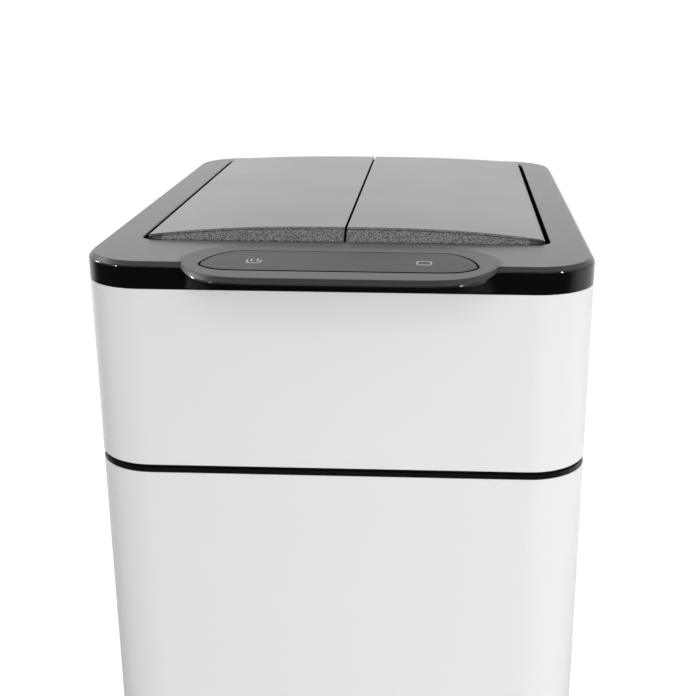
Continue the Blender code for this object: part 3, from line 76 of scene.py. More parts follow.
# Heights closer than this are the same height, and a normal with this share along an axis looks that way.
SAME_HEIGHT = 1e-6
FACING = 0.99


# ---- Small tools for modelling by hand ----


class Cut(Enum):
    """How one piece changes another."""

    ADD = "UNION"
    REMOVE = "DIFFERENCE"
    KEEP = "INTERSECT"


class Pick(Enum):
    """What is selected in edit mode."""

    EDGES = "EDGE"
    FACES = "FACE"


class Side(Enum):
    """Left or right half of the lid, as a sign along X."""

    LEFT = -1
    RIGHT = 1

    @property
    def word(self) -> str:
        """The side's name as the frame spells it."""
        return self.name.lower()


def only(piece: bpy.types.Object) -> None:
    """Makes the piece the one selected and active object.

    Args:
        piece: the object to work on.
    """
    bpy.ops.object.select_all(action="DESELECT")
    piece.select_set(True)
    bpy.context.view_layer.objects.active = piece


def settle(piece: bpy.types.Object) -> bpy.types.Object:
    """Writes the object's place, turn and scale into its mesh.

    Args:
        piece: the object to settle.

    Returns:
        The same object, at the origin.
    """
    only(piece)
    bpy.ops.object.transform_apply(location=True, rotation=True, scale=True)
    return piece


@contextmanager
def editing(piece: bpy.types.Object, what: Pick = Pick.EDGES) -> Iterator[None]:
    """Edit mode on one piece, with nothing selected at the start.

    Args:
        piece: the object to edit.
        what: what is selected there.
    """
    only(piece)
    bpy.ops.object.mode_set(mode="EDIT")
    bpy.ops.mesh.select_mode(type=what.value)
    bpy.ops.mesh.select_all(action="DESELECT")
    try:
        yield
    finally:
        bpy.ops.object.mode_set(mode="OBJECT")


def pick(
    piece: bpy.types.Object, what: Pick, wanted: Callable[[bmesh.types.BMEdge | bmesh.types.BMFace], bool],
) -> int:
    """Selects the edges or faces that pass a test, in edit mode.

    Args:
        piece: the object in edit mode.
        what: EDGES or FACES.
        wanted: the test on one of them.

    Returns:
        How many are selected.
    """
    mesh = bmesh.from_edit_mesh(piece.data)
    chosen = [part for part in getattr(mesh, what.name.lower()) if wanted(part)]
    for part in chosen:
        part.select_set(True)
    bmesh.update_edit_mesh(piece.data)
    return len(chosen)


def upright(edge: bmesh.types.BMEdge) -> bool:
    """True for an edge that stands along Z."""
    run = edge.verts[1].co - edge.verts[0].co
    return abs(run.z) > FACING * run.length


def level_at(height: float, slack: float = 2e-5) -> Callable[[bmesh.types.BMEdge], bool]:
    """A test for edges that lie at one height in metres, give or take the slack."""
    return lambda edge: all(abs(end.co.z - height) < slack for end in edge.verts)


def is_corner(edge: bmesh.types.BMEdge, least: float = 35.0) -> bool:
    """True for an edge between two faces that turn by more than an angle in degrees."""
    return len(edge.link_faces) == 2 and math.degrees(edge.calc_face_angle(0.0)) > least


def round_edges(
    piece: bpy.types.Object, wanted: Callable[[bmesh.types.BMEdge], bool], width: float, steps: int,
    clamp: bool = False,
) -> None:
    """Bevels the edges that pass a test.

    Args:
        piece: the object to bevel.
        wanted: the test on an edge.
        width: the bevel's width in metres.
        steps: its segments.
        clamp: whether the bevel stops before it meets itself.
    """
    with editing(piece):
        if pick(piece, Pick.EDGES, wanted):
            bpy.ops.mesh.bevel(offset=width, segments=steps, affect="EDGES", clamp_overlap=clamp)


def weld(piece: bpy.types.Object, reach: float = 2e-5) -> None:
    """Merges the points that bevels leave on top of each other, so that the piece stays closed.

    Args:
        piece: the object.
        reach: how far apart merged points may lie.
    """
    with editing(piece):
        bpy.ops.mesh.select_all(action="SELECT")
        bpy.ops.mesh.remove_doubles(threshold=reach)
        bpy.ops.mesh.dissolve_degenerate(threshold=reach / 2)


def block(name: str, low: Point, high: Point) -> bpy.types.Object:
    """A box between two corners.

    Args:
        name: the object's name.
        low: its lowest corner.
        high: its highest corner.

    Returns:
        The new object.
    """
    middle = [(a + b) / 2 for a, b in zip(low, high)]
    bpy.ops.object.select_all(action="DESELECT")
    bpy.ops.mesh.primitive_cube_add(size=1.0, location=middle)
    piece = bpy.context.object
    piece.name = name
    piece.scale = [b - a for a, b in zip(low, high)]
    return settle(piece)


def slab(name: str, low: Point, high: Point, radius: float, steps: int) -> bpy.types.Object:
    """A box whose upright edges are rounded.

    Args:
        name: the object's name.
        low: its lowest corner.
        high: its highest corner.
        radius: the plan's corner radius.
        steps: segments in each corner.

    Returns:
        The new object.
    """
    piece = block(name, low, high)
    round_edges(piece, upright, radius, steps)
    return piece


def plate(name: str, outline: Outline, low: float, high: float) -> bpy.types.Object:
    """A flat plate whose plan follows an outline.

    Args:
        name: the object's name.
        outline: the plan's points, anticlockwise.
        low: height of its underside.
        high: height of its top.

    Returns:
        The new object.
    """
    bpy.ops.object.select_all(action="DESELECT")
    bpy.ops.mesh.primitive_circle_add(vertices=len(outline), radius=1.0, fill_type="NGON")
    piece = bpy.context.object
    piece.name = name
    for corner, (x, y) in zip(piece.data.vertices, outline):
        corner.co = (x, y, low)
    with editing(piece, Pick.FACES):
        bpy.ops.mesh.select_all(action="SELECT")
        bpy.ops.mesh.extrude_region_move(TRANSFORM_OT_translate={"value": (0.0, 0.0, high - low)})
        bpy.ops.mesh.select_all(action="SELECT")
        bpy.ops.mesh.normals_make_consistent(inside=False)
    return piece


def rod(name: str, start: Point, end: Point, radius: float, steps: int) -> bpy.types.Object:
    """A round bar between two points.

    Args:
        name: the object's name.
        start: the middle of one end.
        end: the middle of the other end.
        radius: its radius.
        steps: sides of the bar.

    Returns:
        The new object.
    """
    a, b = Vector(start), Vector(end)
    bpy.ops.object.select_all(action="DESELECT")
    bpy.ops.mesh.primitive_cylinder_add(vertices=steps, radius=radius, depth=(b - a).length, location=(a + b) / 2)
    piece = bpy.context.object
    piece.name = name
    piece.rotation_euler = (b - a).to_track_quat("Z", "Y").to_euler()
    return settle(piece)


def use(piece: bpy.types.Object, kind: str, **settings: object) -> bpy.types.Object:
    """Adds one modifier to a piece and applies it.

    Args:
        piece: the object.
        kind: the modifier's type.
        **settings: its settings.

    Returns:
        The same object.
    """
    only(piece)
    step = piece.modifiers.new(kind.lower(), kind)
    for key, value in settings.items():
        setattr(step, key, value)
    bpy.ops.object.modifier_apply(modifier=step.name)
    return piece


def combine(piece: bpy.types.Object, tool: bpy.types.Object, way: Cut) -> bpy.types.Object:
    """Joins a tool to a piece, cuts it out or keeps what both share, and deletes the tool.

    Args:
        piece: the object that stays.
        tool: the object that is used up.
        way: ADD, REMOVE or KEEP.

    Returns:
        The piece.
    """
    use(piece, "BOOLEAN", operation=way.value, object=tool, solver="EXACT")
    bpy.data.objects.remove(tool, do_unlink=True)
    return piece


def smooth(piece: bpy.types.Object, sharp: float = 28.0) -> bpy.types.Object:
    """Shades a piece smooth except over sharp edges, with flat faces kept flat beside their bevels.

    Args:
        piece: the object.
        sharp: the least sharp angle in degrees.

    Returns:
        The same object.
    """
    only(piece)
    bpy.ops.object.shade_smooth_by_angle(angle=math.radians(sharp))
    return use(piece, "WEIGHTED_NORMAL", mode="FACE_AREA", weight=50, keep_sharp=True)


# ---- Finishes ----

# A Mix node's sockets for colours, which share their names with those for numbers.
MIX_FIRST, MIX_SECOND, MIX_RESULT = 6, 7, 2
MM_PER_METRE = 1000.0


def linear(code: str) -> tuple[float, float, float, float]:
    """Turns an sRGB hex value into linear light.

    Args:
        code: six hex digits after a number sign.

    Returns:
        Red, green, blue and 1.
    """
    shares = [int(code[i : i + 2], 16) / 255 for i in (1, 3, 5)]
    light = [s / 12.92 if s <= 0.04045 else ((s + 0.055) / 1.055) ** 2.4 for s in shares]
    return (light[0], light[1], light[2], 1.0)


WHITE = linear("#FFFFFF")


def add_node(
    tree: bpy.types.NodeTree,
    kind: str,
    links: dict[str | int, bpy.types.NodeSocket] | None = None,
    values: dict[str | int, object] | None = None,
    **settings: object,
) -> bpy.types.Node:
    """Adds one node, with its settings, its values and what feeds it.

    Args:
        tree: the material's or world's node tree.
        kind: the node's type without its ShaderNode prefix.
        links: input name or number to the socket that feeds it.
        values: input name or number to its value.
        **settings: the node's own settings.

    Returns:
        The new node.
    """
    node = tree.nodes.new("ShaderNode" + kind)
    for key, value in settings.items():
        setattr(node, key, value)
    for key, value in (values or {}).items():
        node.inputs[key].default_value = value
    for key, socket in (links or {}).items():
        tree.links.new(socket, node.inputs[key])
    return node


@dataclass(frozen=True)
class Finish:
    """A plastic, rubber, coat or bare metal with a fine moulded or worked surface.

    The surface is a bump of one grain size, with a slow drift of the gloss,
    as mould texture and handling leave it. Where a crest colour is given, the
    grain's crests are painted paler, a painted highlight of the light that they catch.

    Attributes:
        name: what the material is and how its surface was made.
        colour: its sRGB colour.
        roughness: its mean roughness.
        metallic: 1 for bare metal.
        ior: its index of refraction, left alone on metal.
        specular: its specular level, where 0.5 is plain.
        coat: weight of a clear sheen over it.
        coat_roughness: roughness of that sheen.
        grain_mm: width of one grain.
        grain_depth: its depth in millimetres.
        drift_mm: how far apart glossier and duller places lie.
        drift: how much the roughness changes between them.
        mottle: sRGB colour of the grain's crests, if they look paler.
        mottle_share: how much of that colour the crests take.
        grain_half: how far from the centre line the grain ends, or 0 where it covers all.
        grain_fade: half the width over which it ends.
    """

    name: str
    colour: str
    roughness: float
    metallic: float = 0.0
    ior: float = 1.5
    specular: float = 0.5
    coat: float = 0.0
    coat_roughness: float = 0.1
    grain_mm: float = 0.8
    grain_depth: float = 0.04
    drift_mm: float = 60.0
    drift: float = 0.05
    # mottle: sRGB colour painted on the grain's crests as a painted highlight, if any. mottle_share: how much of that
    # painted highlight the crests take.
    mottle: str = ""
    mottle_share: float = 0.5
    grain_half: float = 0.0
    grain_fade: float = 0.002

    # Values of the noise between which nearly all of it lies, those of the grain's crests, and the least roughness.
    DRIFT_SPAN: ClassVar[tuple[float, float]] = (0.3, 0.7)
    CREST_SPAN: ClassVar[tuple[float, float]] = (0.42, 0.62)
    LEAST_ROUGHNESS: ClassVar[float] = 0.02
    # Octaves of the grain and of the drift, and how rough the grain's finer octaves are.
    GRAIN_DETAIL: ClassVar[float] = 2.0
    GRAIN_ROUGHNESS: ClassVar[float] = 0.55
    DRIFT_DETAIL: ClassVar[float] = 3.0

    def material(self) -> bpy.types.Material:
        """Builds the node material.

        Returns:
            The new material.
        """
        made = bpy.data.materials.new(self.name)
        made.use_nodes = True
        tree = made.node_tree
        shader = tree.nodes["Principled BSDF"]
        shader.inputs["Base Color"].default_value = linear(self.colour)
        shader.inputs["Metallic"].default_value = self.metallic
        if not self.metallic:
            shader.inputs["IOR"].default_value = self.ior
            shader.inputs["Specular IOR Level"].default_value = self.specular
        shader.inputs["Coat Weight"].default_value = self.coat
        shader.inputs["Coat Roughness"].default_value = self.coat_roughness
        place = add_node(tree, "TexCoord").outputs["Object"]
        grain = add_node(
            tree, "TexNoise", {"Vector": place},
            {
                "Scale": MM_PER_METRE / self.grain_mm, "Detail": self.GRAIN_DETAIL,
                "Roughness": self.GRAIN_ROUGHNESS,
            },
        )
        drift = add_node(
            tree, "TexNoise", {"Vector": place},
            {"Scale": MM_PER_METRE / self.drift_mm, "Detail": self.DRIFT_DETAIL},
        )
        smoothest = max(self.LEAST_ROUGHNESS, self.roughness - self.drift)
        gloss = add_node(
            tree, "MapRange", {"Value": drift.outputs["Fac"]},
            {
                "From Min": self.DRIFT_SPAN[0], "From Max": self.DRIFT_SPAN[1],
                "To Min": smoothest, "To Max": self.roughness + self.drift,
            },
        )
        tree.links.new(gloss.outputs["Result"], shader.inputs["Roughness"])
        height = grain.outputs["Fac"]
        if self.grain_half:
            height = self.kept_inside(tree, place, height)
        bump = add_node(
            tree, "Bump", {"Height": height}, {"Strength": 1.0, "Distance": self.grain_depth / MM_PER_METRE},
        )
        tree.links.new(bump.outputs["Normal"], shader.inputs["Normal"])
        # Painted highlight: the grain's crests are painted paler, for the light that they catch.
        if self.mottle:
            spread = add_node(
                tree, "MapRange", {"Value": height},
                {
                    "From Min": self.CREST_SPAN[0], "From Max": self.CREST_SPAN[1],
                    "To Min": 0.0, "To Max": self.mottle_share,
                },
            )
            mix = add_node(
                tree, "Mix", {"Factor": spread.outputs["Result"]},
                {MIX_FIRST: linear(self.colour), MIX_SECOND: linear(self.mottle)}, data_type="RGBA",
            )
            tree.links.new(mix.outputs[MIX_RESULT], shader.inputs["Base Color"])
        return made

    def kept_inside(
        self, tree: bpy.types.NodeTree, place: bpy.types.NodeSocket, height: bpy.types.NodeSocket,
    ) -> bpy.types.NodeSocket:
        """Fades the grain out where the mould's etched field ends.

        Args:
            tree: the material's node tree.
            place: the socket that gives the place on the piece.
            height: the socket that gives the grain.

        Returns:
            The socket that gives the grain inside its field.
        """
        axes = add_node(tree, "SeparateXYZ", {"Vector": place})
        across = add_node(tree, "Math", {0: axes.outputs["X"]}, operation="ABSOLUTE")
        inside = add_node(
            tree, "MapRange", {"Value": across.outputs[0]},
            {
                "From Min": self.grain_half - self.grain_fade, "From Max": self.grain_half + self.grain_fade,
                "To Min": 1.0, "To Max": 0.0,
            },
        )
        return add_node(tree, "Math", {0: height, 1: inside.outputs["Result"]}, operation="MULTIPLY").outputs[0]


@dataclass(frozen=True)
class TongueZone:
    """Plan of the closer finish and painted shade over the tongue: a stadium along X.

    Attributes:
        across: X of its middle.
        middle: Y of its long axis.
        radius: its half width.
        straight: half the length of its straight part.
    """

    across: float
    middle: float
    radius: float
    straight: float


@dataclass(frozen=True)
class LidPlastic:
    """Black ABS of the lid frame: satin on the frame, closer over the sensor tongue, and painted darker there as shade.

    ABS moulded against a satin mould, with another texture under the tongue's plan.
    The frame gathers the back light into an even grey, and the tongue shows less of it.
    Its colour there is also painted darker, a painted shade, so its plan reads as a darker shape.
    The edge is soft, because the two run into each other.
    The real texture is too fine for the render and is drawn 0.7 mm wide.

    Attributes:
        name: what it is and how its surface was made.
        colour: its sRGB colour on the frame.
        roughness: its roughness there.
        tongue_colour: its sRGB colour over the tongue, painted darker as shade.
        tongue_roughness: its roughness there.
        ior: its index of refraction.
        coat: weight of the clear sheen.
        coat_roughness: roughness of that sheen.
        grain_mm: width of one grain.
        grain_depth: its depth in millimetres.
        edge: width over which the two run into each other.
    """

    name: str = "moulded_abs_lid"
    colour: str = "#1A1A1B"
    roughness: float = 0.36
    tongue_colour: str = "#101011"
    tongue_roughness: float = 0.50
    ior: float = 1.46
    coat: float = 0.23
    coat_roughness: float = 0.18
    grain_mm: float = 0.7
    grain_depth: float = 0.022
    edge: float = 0.0030

    def material(self, zone: TongueZone) -> bpy.types.Material:
        """Builds the material.

        Args:
            zone: plan of the closer finish.

        Returns:
            The new material.
        """
        made = bpy.data.materials.new(self.name)
        made.use_nodes = True
        tree = made.node_tree
        shader = tree.nodes["Principled BSDF"]
        shader.inputs["IOR"].default_value = self.ior
        shader.inputs["Coat Roughness"].default_value = self.coat_roughness
        shader.inputs["Coat Weight"].default_value = self.coat
        place = add_node(tree, "TexCoord").outputs["Object"]
        axes = add_node(tree, "SeparateXYZ", {"Vector": place})
        across = add_node(tree, "Math", {0: axes.outputs["X"]}, {1: zone.across}, operation="SUBTRACT")
        across = add_node(tree, "Math", {0: across.outputs[0]}, operation="ABSOLUTE")
        beyond = add_node(tree, "Math", {0: across.outputs[0]}, {1: zone.straight}, operation="SUBTRACT")
        beyond = add_node(tree, "Math", {0: beyond.outputs[0]}, {1: 0.0}, operation="MAXIMUM")
        along = add_node(tree, "Math", {0: axes.outputs["Y"]}, {1: zone.middle}, operation="SUBTRACT")
        flat = add_node(tree, "CombineXYZ", {"X": beyond.outputs[0], "Y": along.outputs[0]})
        reach = add_node(tree, "VectorMath", {0: flat.outputs[0]}, operation="LENGTH")
        inside = add_node(
            tree, "MapRange", {"Value": reach.outputs["Value"]},
            {"From Min": zone.radius - self.edge, "From Max": zone.radius, "To Min": 1.0, "To Max": 0.0},
        )
        # Painted shade: the colour is painted darker inside the tongue's plan.
        mix = add_node(
            tree, "Mix", {"Factor": inside.outputs["Result"]},
            {MIX_FIRST: linear(self.colour), MIX_SECOND: linear(self.tongue_colour)}, data_type="RGBA",
        )
        tree.links.new(mix.outputs[MIX_RESULT], shader.inputs["Base Color"])
        gloss = add_node(
            tree, "MapRange", {"Value": inside.outputs["Result"]},
            {"To Min": self.roughness, "To Max": self.tongue_roughness},
        )
        tree.links.new(gloss.outputs["Result"], shader.inputs["Roughness"])
        grain = add_node(
            tree, "TexNoise", {"Vector": place},
            {"Scale": MM_PER_METRE / self.grain_mm, "Detail": Finish.GRAIN_DETAIL},
        )
        bump = add_node(
            tree, "Bump", {"Height": grain.outputs["Fac"]},
            {"Strength": 1.0, "Distance": self.grain_depth / MM_PER_METRE},
        )
        tree.links.new(bump.outputs["Normal"], shader.inputs["Normal"])
        return made


# Each comment says what the real material is, how its surface was made, and what that gives the eye. Grain under
# about 0.5 mm is finer than the render shows, so it is drawn as wide as grain_mm says.

# Polyester powder, sprayed on the steel and baked: a hard white film with a faint orange peel, about 1.6 mm wide. The
# soft boxes run over it in broad gradients, and the bends keep a narrow shine.
POWDER_COAT = Finish(
    "powder_coated_steel", "#F1F1F0", 0.20, grain_mm=1.6, grain_depth=0.004, drift_mm=120.0, drift=0.03,
)
# ABS, moulded against a finely honed mould: dark grey satin that spreads the back light into one wide, even sheen.
FLAP_SKIN = Finish(
    "satin_abs_flap", "#222223", 0.36, ior=1.48, coat=0.50, coat_roughness=0.26, grain_mm=0.6,
    grain_depth=0.012, drift_mm=90.0, drift=0.02,
)
# ABS, moulded against an etched mould: black plastic whose grain crests catch the light. The crests are painted pale,
# a painted highlight, and the base colour is painted grey, lighter than the real black, a painted sheen, so the end
# walls look speckled.
# The real grain is about 0.5 mm wide and is drawn at 0.8 mm. The etched field stops short of the walls' outer ends.
GRAINED_ABS = Finish(
    "grained_abs", "#3C3C3D", 0.50, ior=1.5, grain_mm=0.8, grain_depth=0.15, mottle="#C4C4C4", mottle_share=0.80,
    grain_half=0.1165,
)
# ABS, moulded against a plain mould: near black with a calm, soft shine on its edges.
BLACK_ABS = Finish("moulded_abs_black", "#101011", 0.30, ior=1.40, grain_mm=0.8, grain_depth=0.015)
# ABS, moulded against a polished mould, on the frame's steep faces: painted darker than the frame's top, a painted
# shade, so the skirt is almost black and shines only where it faces a lamp.
SHADED_SKIRT_ABS = Finish("polished_abs_skirt", "#050505", 0.16, ior=1.46, grain_mm=2.0, grain_depth=0.001)
# ABS with a spark eroded texture and a low specular level. Its near black colour is painted shade, so the
# underside of the tongue stays in the dark.
SHADED_COVER_ABS = Finish("textured_abs_cover", "#070707", 0.65, specular=0.12, grain_mm=0.9, grain_depth=0.02)
# Polypropylene, moulded against a plain mould: waxy, and a little greyer and duller than the ABS.
LINER_PP = Finish("moulded_polypropylene", "#19191A", 0.48, grain_mm=0.9, grain_depth=0.03)
# Cast acrylic, dyed so that infrared alone passes: a flat black with a quiet sheen and no grain at all.
DARK_ACRYLIC = Finish(
    "dark_acrylic", "#0B0B0D", 0.26, ior=1.40, specular=0.08, grain_mm=2.0, grain_depth=0.0, drift=0.02,
)
# Ink, pad printed on the acrylic: thin, pale and dull, so the marks stay legible from any side.
PALE_INK = Finish("pale_print", "#F2F2F0", 0.5, grain_mm=0.5, grain_depth=0.002)
# Nitrile rubber, moulded: matt and slightly dusty, with no glint.
SOFT_RUBBER = Finish("soft_rubber", "#1C1C1C", 0.8, grain_mm=0.9, grain_depth=0.05)
# Steel, plated with zinc and passivated: a cool, slightly milky metal with soft glints.
ZINC_STEEL = Finish("zinc_plated_steel", "#B9B8B2", 0.3, metallic=1.0, grain_mm=0.6, grain_depth=0.01)
# Spring steel, plated with nickel: a brighter and warmer metal.
NICKEL_SPRING = Finish("nickel_plated_spring", "#C9C4B6", 0.25, metallic=1.0, grain_mm=0.6, grain_depth=0.01)
# Copper foil, thinly tinned: pinkish metal with a soft, even shine.
COPPER = Finish("tinned_copper", "#C98A5A", 0.35, metallic=1.0, grain_mm=0.5, grain_depth=0.01)
# Acetal, moulded: milky white with a slippery sheen on the teeth.
ACETAL = Finish("moulded_acetal", "#DCD8CC", 0.42, grain_mm=0.9, grain_depth=0.01)
# Nylon, moulded: cream white and duller than acetal.
NYLON = Finish("moulded_nylon", "#D6D0BF", 0.5, grain_mm=0.9, grain_depth=0.01)
# Solder mask, printed and cured on glass fibre board: a deep green lacquer with a soft shine.
BOARD_MASK = Finish("solder_mask", "#1E6B3A", 0.38, grain_mm=1.0, grain_depth=0.01)
# Plastic film, shrunk round the cells: smooth dark blue with a close shine.
CELL_WRAP = Finish("cell_sleeve", "#2A3350", 0.3, grain_mm=1.0, grain_depth=0.005)
# PVC, extruded over the wires: smooth dark red, half dull.
LEAD_PVC = Finish("lead_pvc", "#5A1B1B", 0.5, grain_mm=1.0, grain_depth=0.01)


# ---- The object ----


@dataclass
class BinSizes:
    """Sizes that several pieces share, in metres, in the frame's own axes.

    Attributes:
        half_width: half the bin's width.
        front: Y of its front.
        back: Y of its back.
        corner: radius of its upright corners.
        corner_steps: segments in each of them.
        lid_top: height of the frame's flat top.
        skirt_bottom: height of the skirt's lower edge.
        bands: bottom and top of the sleeve, then of the head band.
    """

    half_width: float = 0.1525
    front: float = -0.183
    back: float = 0.218
    corner: float = 0.0375
    corner_steps: int = 28
    lid_top: float = 0.620
    skirt_bottom: float = 0.6043
    bands: tuple[float, float, float, float] = (0.0098, 0.4882, 0.4931, 0.6040)


@dataclass
class SteelBands:
    """The two powder coated steel bands: body sleeve and head ring.

    Attributes:
        sizes: the bin's sizes.
        sheet: the steel's thickness.
        hem: how far the head band's bottom edge turns inward.
        roll: radius of that turn.
        edge_share: the cut edges' rounding, as a share of the sheet.
    """

    sizes: BinSizes = field(default_factory=BinSizes)
    sheet: float = 0.0007
    hem: float = 0.0040
    roll: float = 0.0006
    edge_share: float = 0.3

    def band(self, name: str, low: float, high: float, hem: bool) -> bpy.types.Object:
        """Bends one band from sheet.

        Args:
            name: the piece's name.
            low: height of its bottom.
            high: height of its top.
            hem: whether its bottom edge turns inward.

        Returns:
            The new piece.
        """
        s = self.sizes
        piece = slab(name, (-s.half_width, s.front, low), (s.half_width, s.back, high), s.corner, s.corner_steps)
        with editing(piece, Pick.FACES):
            pick(piece, Pick.FACES, lambda f: f.normal.z > FACING or (f.normal.z < -FACING and not hem))
            bpy.ops.mesh.delete(type="FACE")
        if hem:
            with editing(piece, Pick.FACES):
                pick(piece, Pick.FACES, lambda f: f.normal.z < -FACING)
                bpy.ops.mesh.inset(thickness=self.hem, depth=0.0)
                bpy.ops.mesh.delete(type="FACE")
            round_edges(piece, lambda e: level_at(low)(e) and is_corner(e), self.roll, 4)
        use(piece, "SOLIDIFY", thickness=self.sheet, offset=-1.0, use_even_offset=True)
        round_edges(piece, lambda e: is_corner(e, 60.0), self.sheet * self.edge_share, 2)
        return smooth(piece)

    def build(self) -> None:
        """Makes both bands and sets them on their bodies."""
        low, top, ring_low, ring_top = self.sizes.bands
        finish = POWDER_COAT.material()
        for name, node, body, a, b, hem in (
            ("steel_sleeve", "body_shell", "body", low, top, False),
            ("steel_head_band", "upper_ring", "head", ring_low, ring_top, True),
        ):
            piece = self.band(name, a, b, hem)
            piece.data.materials.append(finish)
            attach(piece, body)
            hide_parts(node)
            LOG.info("%s rides on %s", piece.name, body)


@dataclass
class Tongue:
    """Shape of the sensor tongue, which flows out of the frame's front edge, and the cover under it.

    Attributes:
        middle: X of its middle.
        half: half its length.
        root: Y of the front edge that it flows out of.
        reach: how far it stands out.
        fullness: power of its front curve, which is squarer the higher it is.
        crowding: power that crowds the curve's points towards the tips.
        points: how many steps each half of the curve has.
        tip_bevel: width of the bevel at the tips.
        front_bevel: the same in front.
        bevel_depth: height of the bevel.
        body_back: Y where the tongue ends inside the frame.
        zone_half: half length of the closer finish and painted shade.
        zone_depth: its width.
        cover_top: height of the cover's top.
        cover_bottom: height of its bottom at the head band.
        cover_sheet: its wall.
        cover_inset: how far it lies inside the tongue's edge.
        cover_gap: what it leaves free before the head band.
    """

    middle: float = 0.0017
    half: float = 0.0920
    root: float = BinSizes.front
    reach: float = 0.035
    fullness: float = 7.4
    crowding: float = 1.7
    points: int = 28
    tip_bevel: float = 0.0010
    front_bevel: float = 0.0028
    bevel_depth: float = 0.0033
    body_back: float = -0.174
    zone_half: float = 0.0955
    zone_depth: float = 0.0865
    cover_top: float = 0.61555
    cover_bottom: float = 0.6050
    cover_sheet: float = 0.0016
    cover_inset: float = 0.0022
    cover_gap: float = 0.0001

    @property
    def zone(self) -> TongueZone:
        """Plan of the closer finish and painted shade."""
        radius = self.zone_depth / 2
        return TongueZone(self.middle, self.root - self.reach + radius, radius, self.zone_half - radius)

    def curve(self) -> Outline:
        """The front edge from the left tip to the right tip, about the tongue's own middle."""
        right = []
        for i in range(self.points + 1):
            share = 1.0 - (1.0 - i / self.points) ** self.crowding
            right.append((share * self.half, self.root - self.reach * (1.0 - share**self.fullness)))
        return [(-x, y) for x, y in reversed(right[1:])] + right

    def plan(self, tip_inset: float, front_inset: float, back: float) -> Outline:
        """The tongue's plan, moved inward.

        Args:
            tip_inset: how far it moves at the tips.
            front_inset: how far it moves in front.
            back: Y of its straight back.

        Returns:
            Its points, anticlockwise.
        """
        curve = self.curve()
        moved = []
        for i, (x, y) in enumerate(curve):
            before, after = curve[max(i - 1, 0)], curve[min(i + 1, len(curve) - 1)]
            run = Vector((after[0] - before[0], after[1] - before[1])).normalized()
            inset = tip_inset + (front_inset - tip_inset) * (self.root - y) / self.reach
            moved.append((self.middle + x - run.y * inset, y + run.x * inset))
        moved = [(x, y) for x, y in moved if y < back]
        return moved + [(moved[-1][0], back), (moved[0][0], back)]

    def body(self, low: float, top: float) -> bpy.types.Object:
        """The solid tongue with its bevelled edge.

        Args:
            low: its bottom.
            top: its top.

        Returns:
            The new piece.
        """
        foot = self.plan(0.0, 0.0, self.body_back)
        head = self.plan(self.tip_bevel, self.front_bevel, self.body_back)
        piece = plate("tongue", foot, low, top - self.bevel_depth)
        with editing(piece, Pick.FACES):
            pick(piece, Pick.FACES, lambda f: f.normal.z > FACING)
            bpy.ops.mesh.extrude_region_move(TRANSFORM_OT_translate={"value": (0.0, 0.0, self.bevel_depth)})
        for corner in piece.data.vertices:
            if corner.co.z > top - SAME_HEIGHT:
                nearest = min(range(len(foot)), key=lambda i: math.dist(foot[i], corner.co.xy))
                corner.co.xy = head[nearest]
        return piece

    def wedge(self, name: str, inset: float, back: float, low: float, high: float) -> bpy.types.Object:
        """A block under the tongue whose bottom slopes down to the head band.

        Args:
            name: the piece's name.
            inset: how far it lies inside the tongue.
            back: Y of its straight back.
            low: height of its bottom in front.
            high: height of its flat top.

        Returns:
            The new piece.
        """
        piece = plate(name, self.plan(inset, inset, back), low, high)
        drop = self.cover_top - self.cover_sheet - self.cover_bottom
        for corner in piece.data.vertices:
            if corner.co.z < high - SAME_HEIGHT:
                share = (corner.co.y - self.root + self.reach) / self.reach
                corner.co.z = low - share * drop
        return piece

    def cover(self) -> None:
        """Makes the cover under the tongue and sets it on the head."""
        high, sheet = self.cover_top, self.cover_sheet
        back = self.root - self.cover_gap
        piece = self.wedge("tongue_cover", self.cover_inset, back, high - sheet, high)
        inside = self.wedge(
            "hollow", self.cover_inset + sheet, back + sheet, high - self.cover_gap, high + OVERRUN,
        )
        combine(piece, inside, Cut.REMOVE)
        smooth(piece)
        # The cover's near black colour is painted shade under the tongue.
        piece.data.materials.append(SHADED_COVER_ABS.material())
        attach(piece, "head")
        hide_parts("tongue_underside")
        LOG.info("%s rides on head", piece.name)


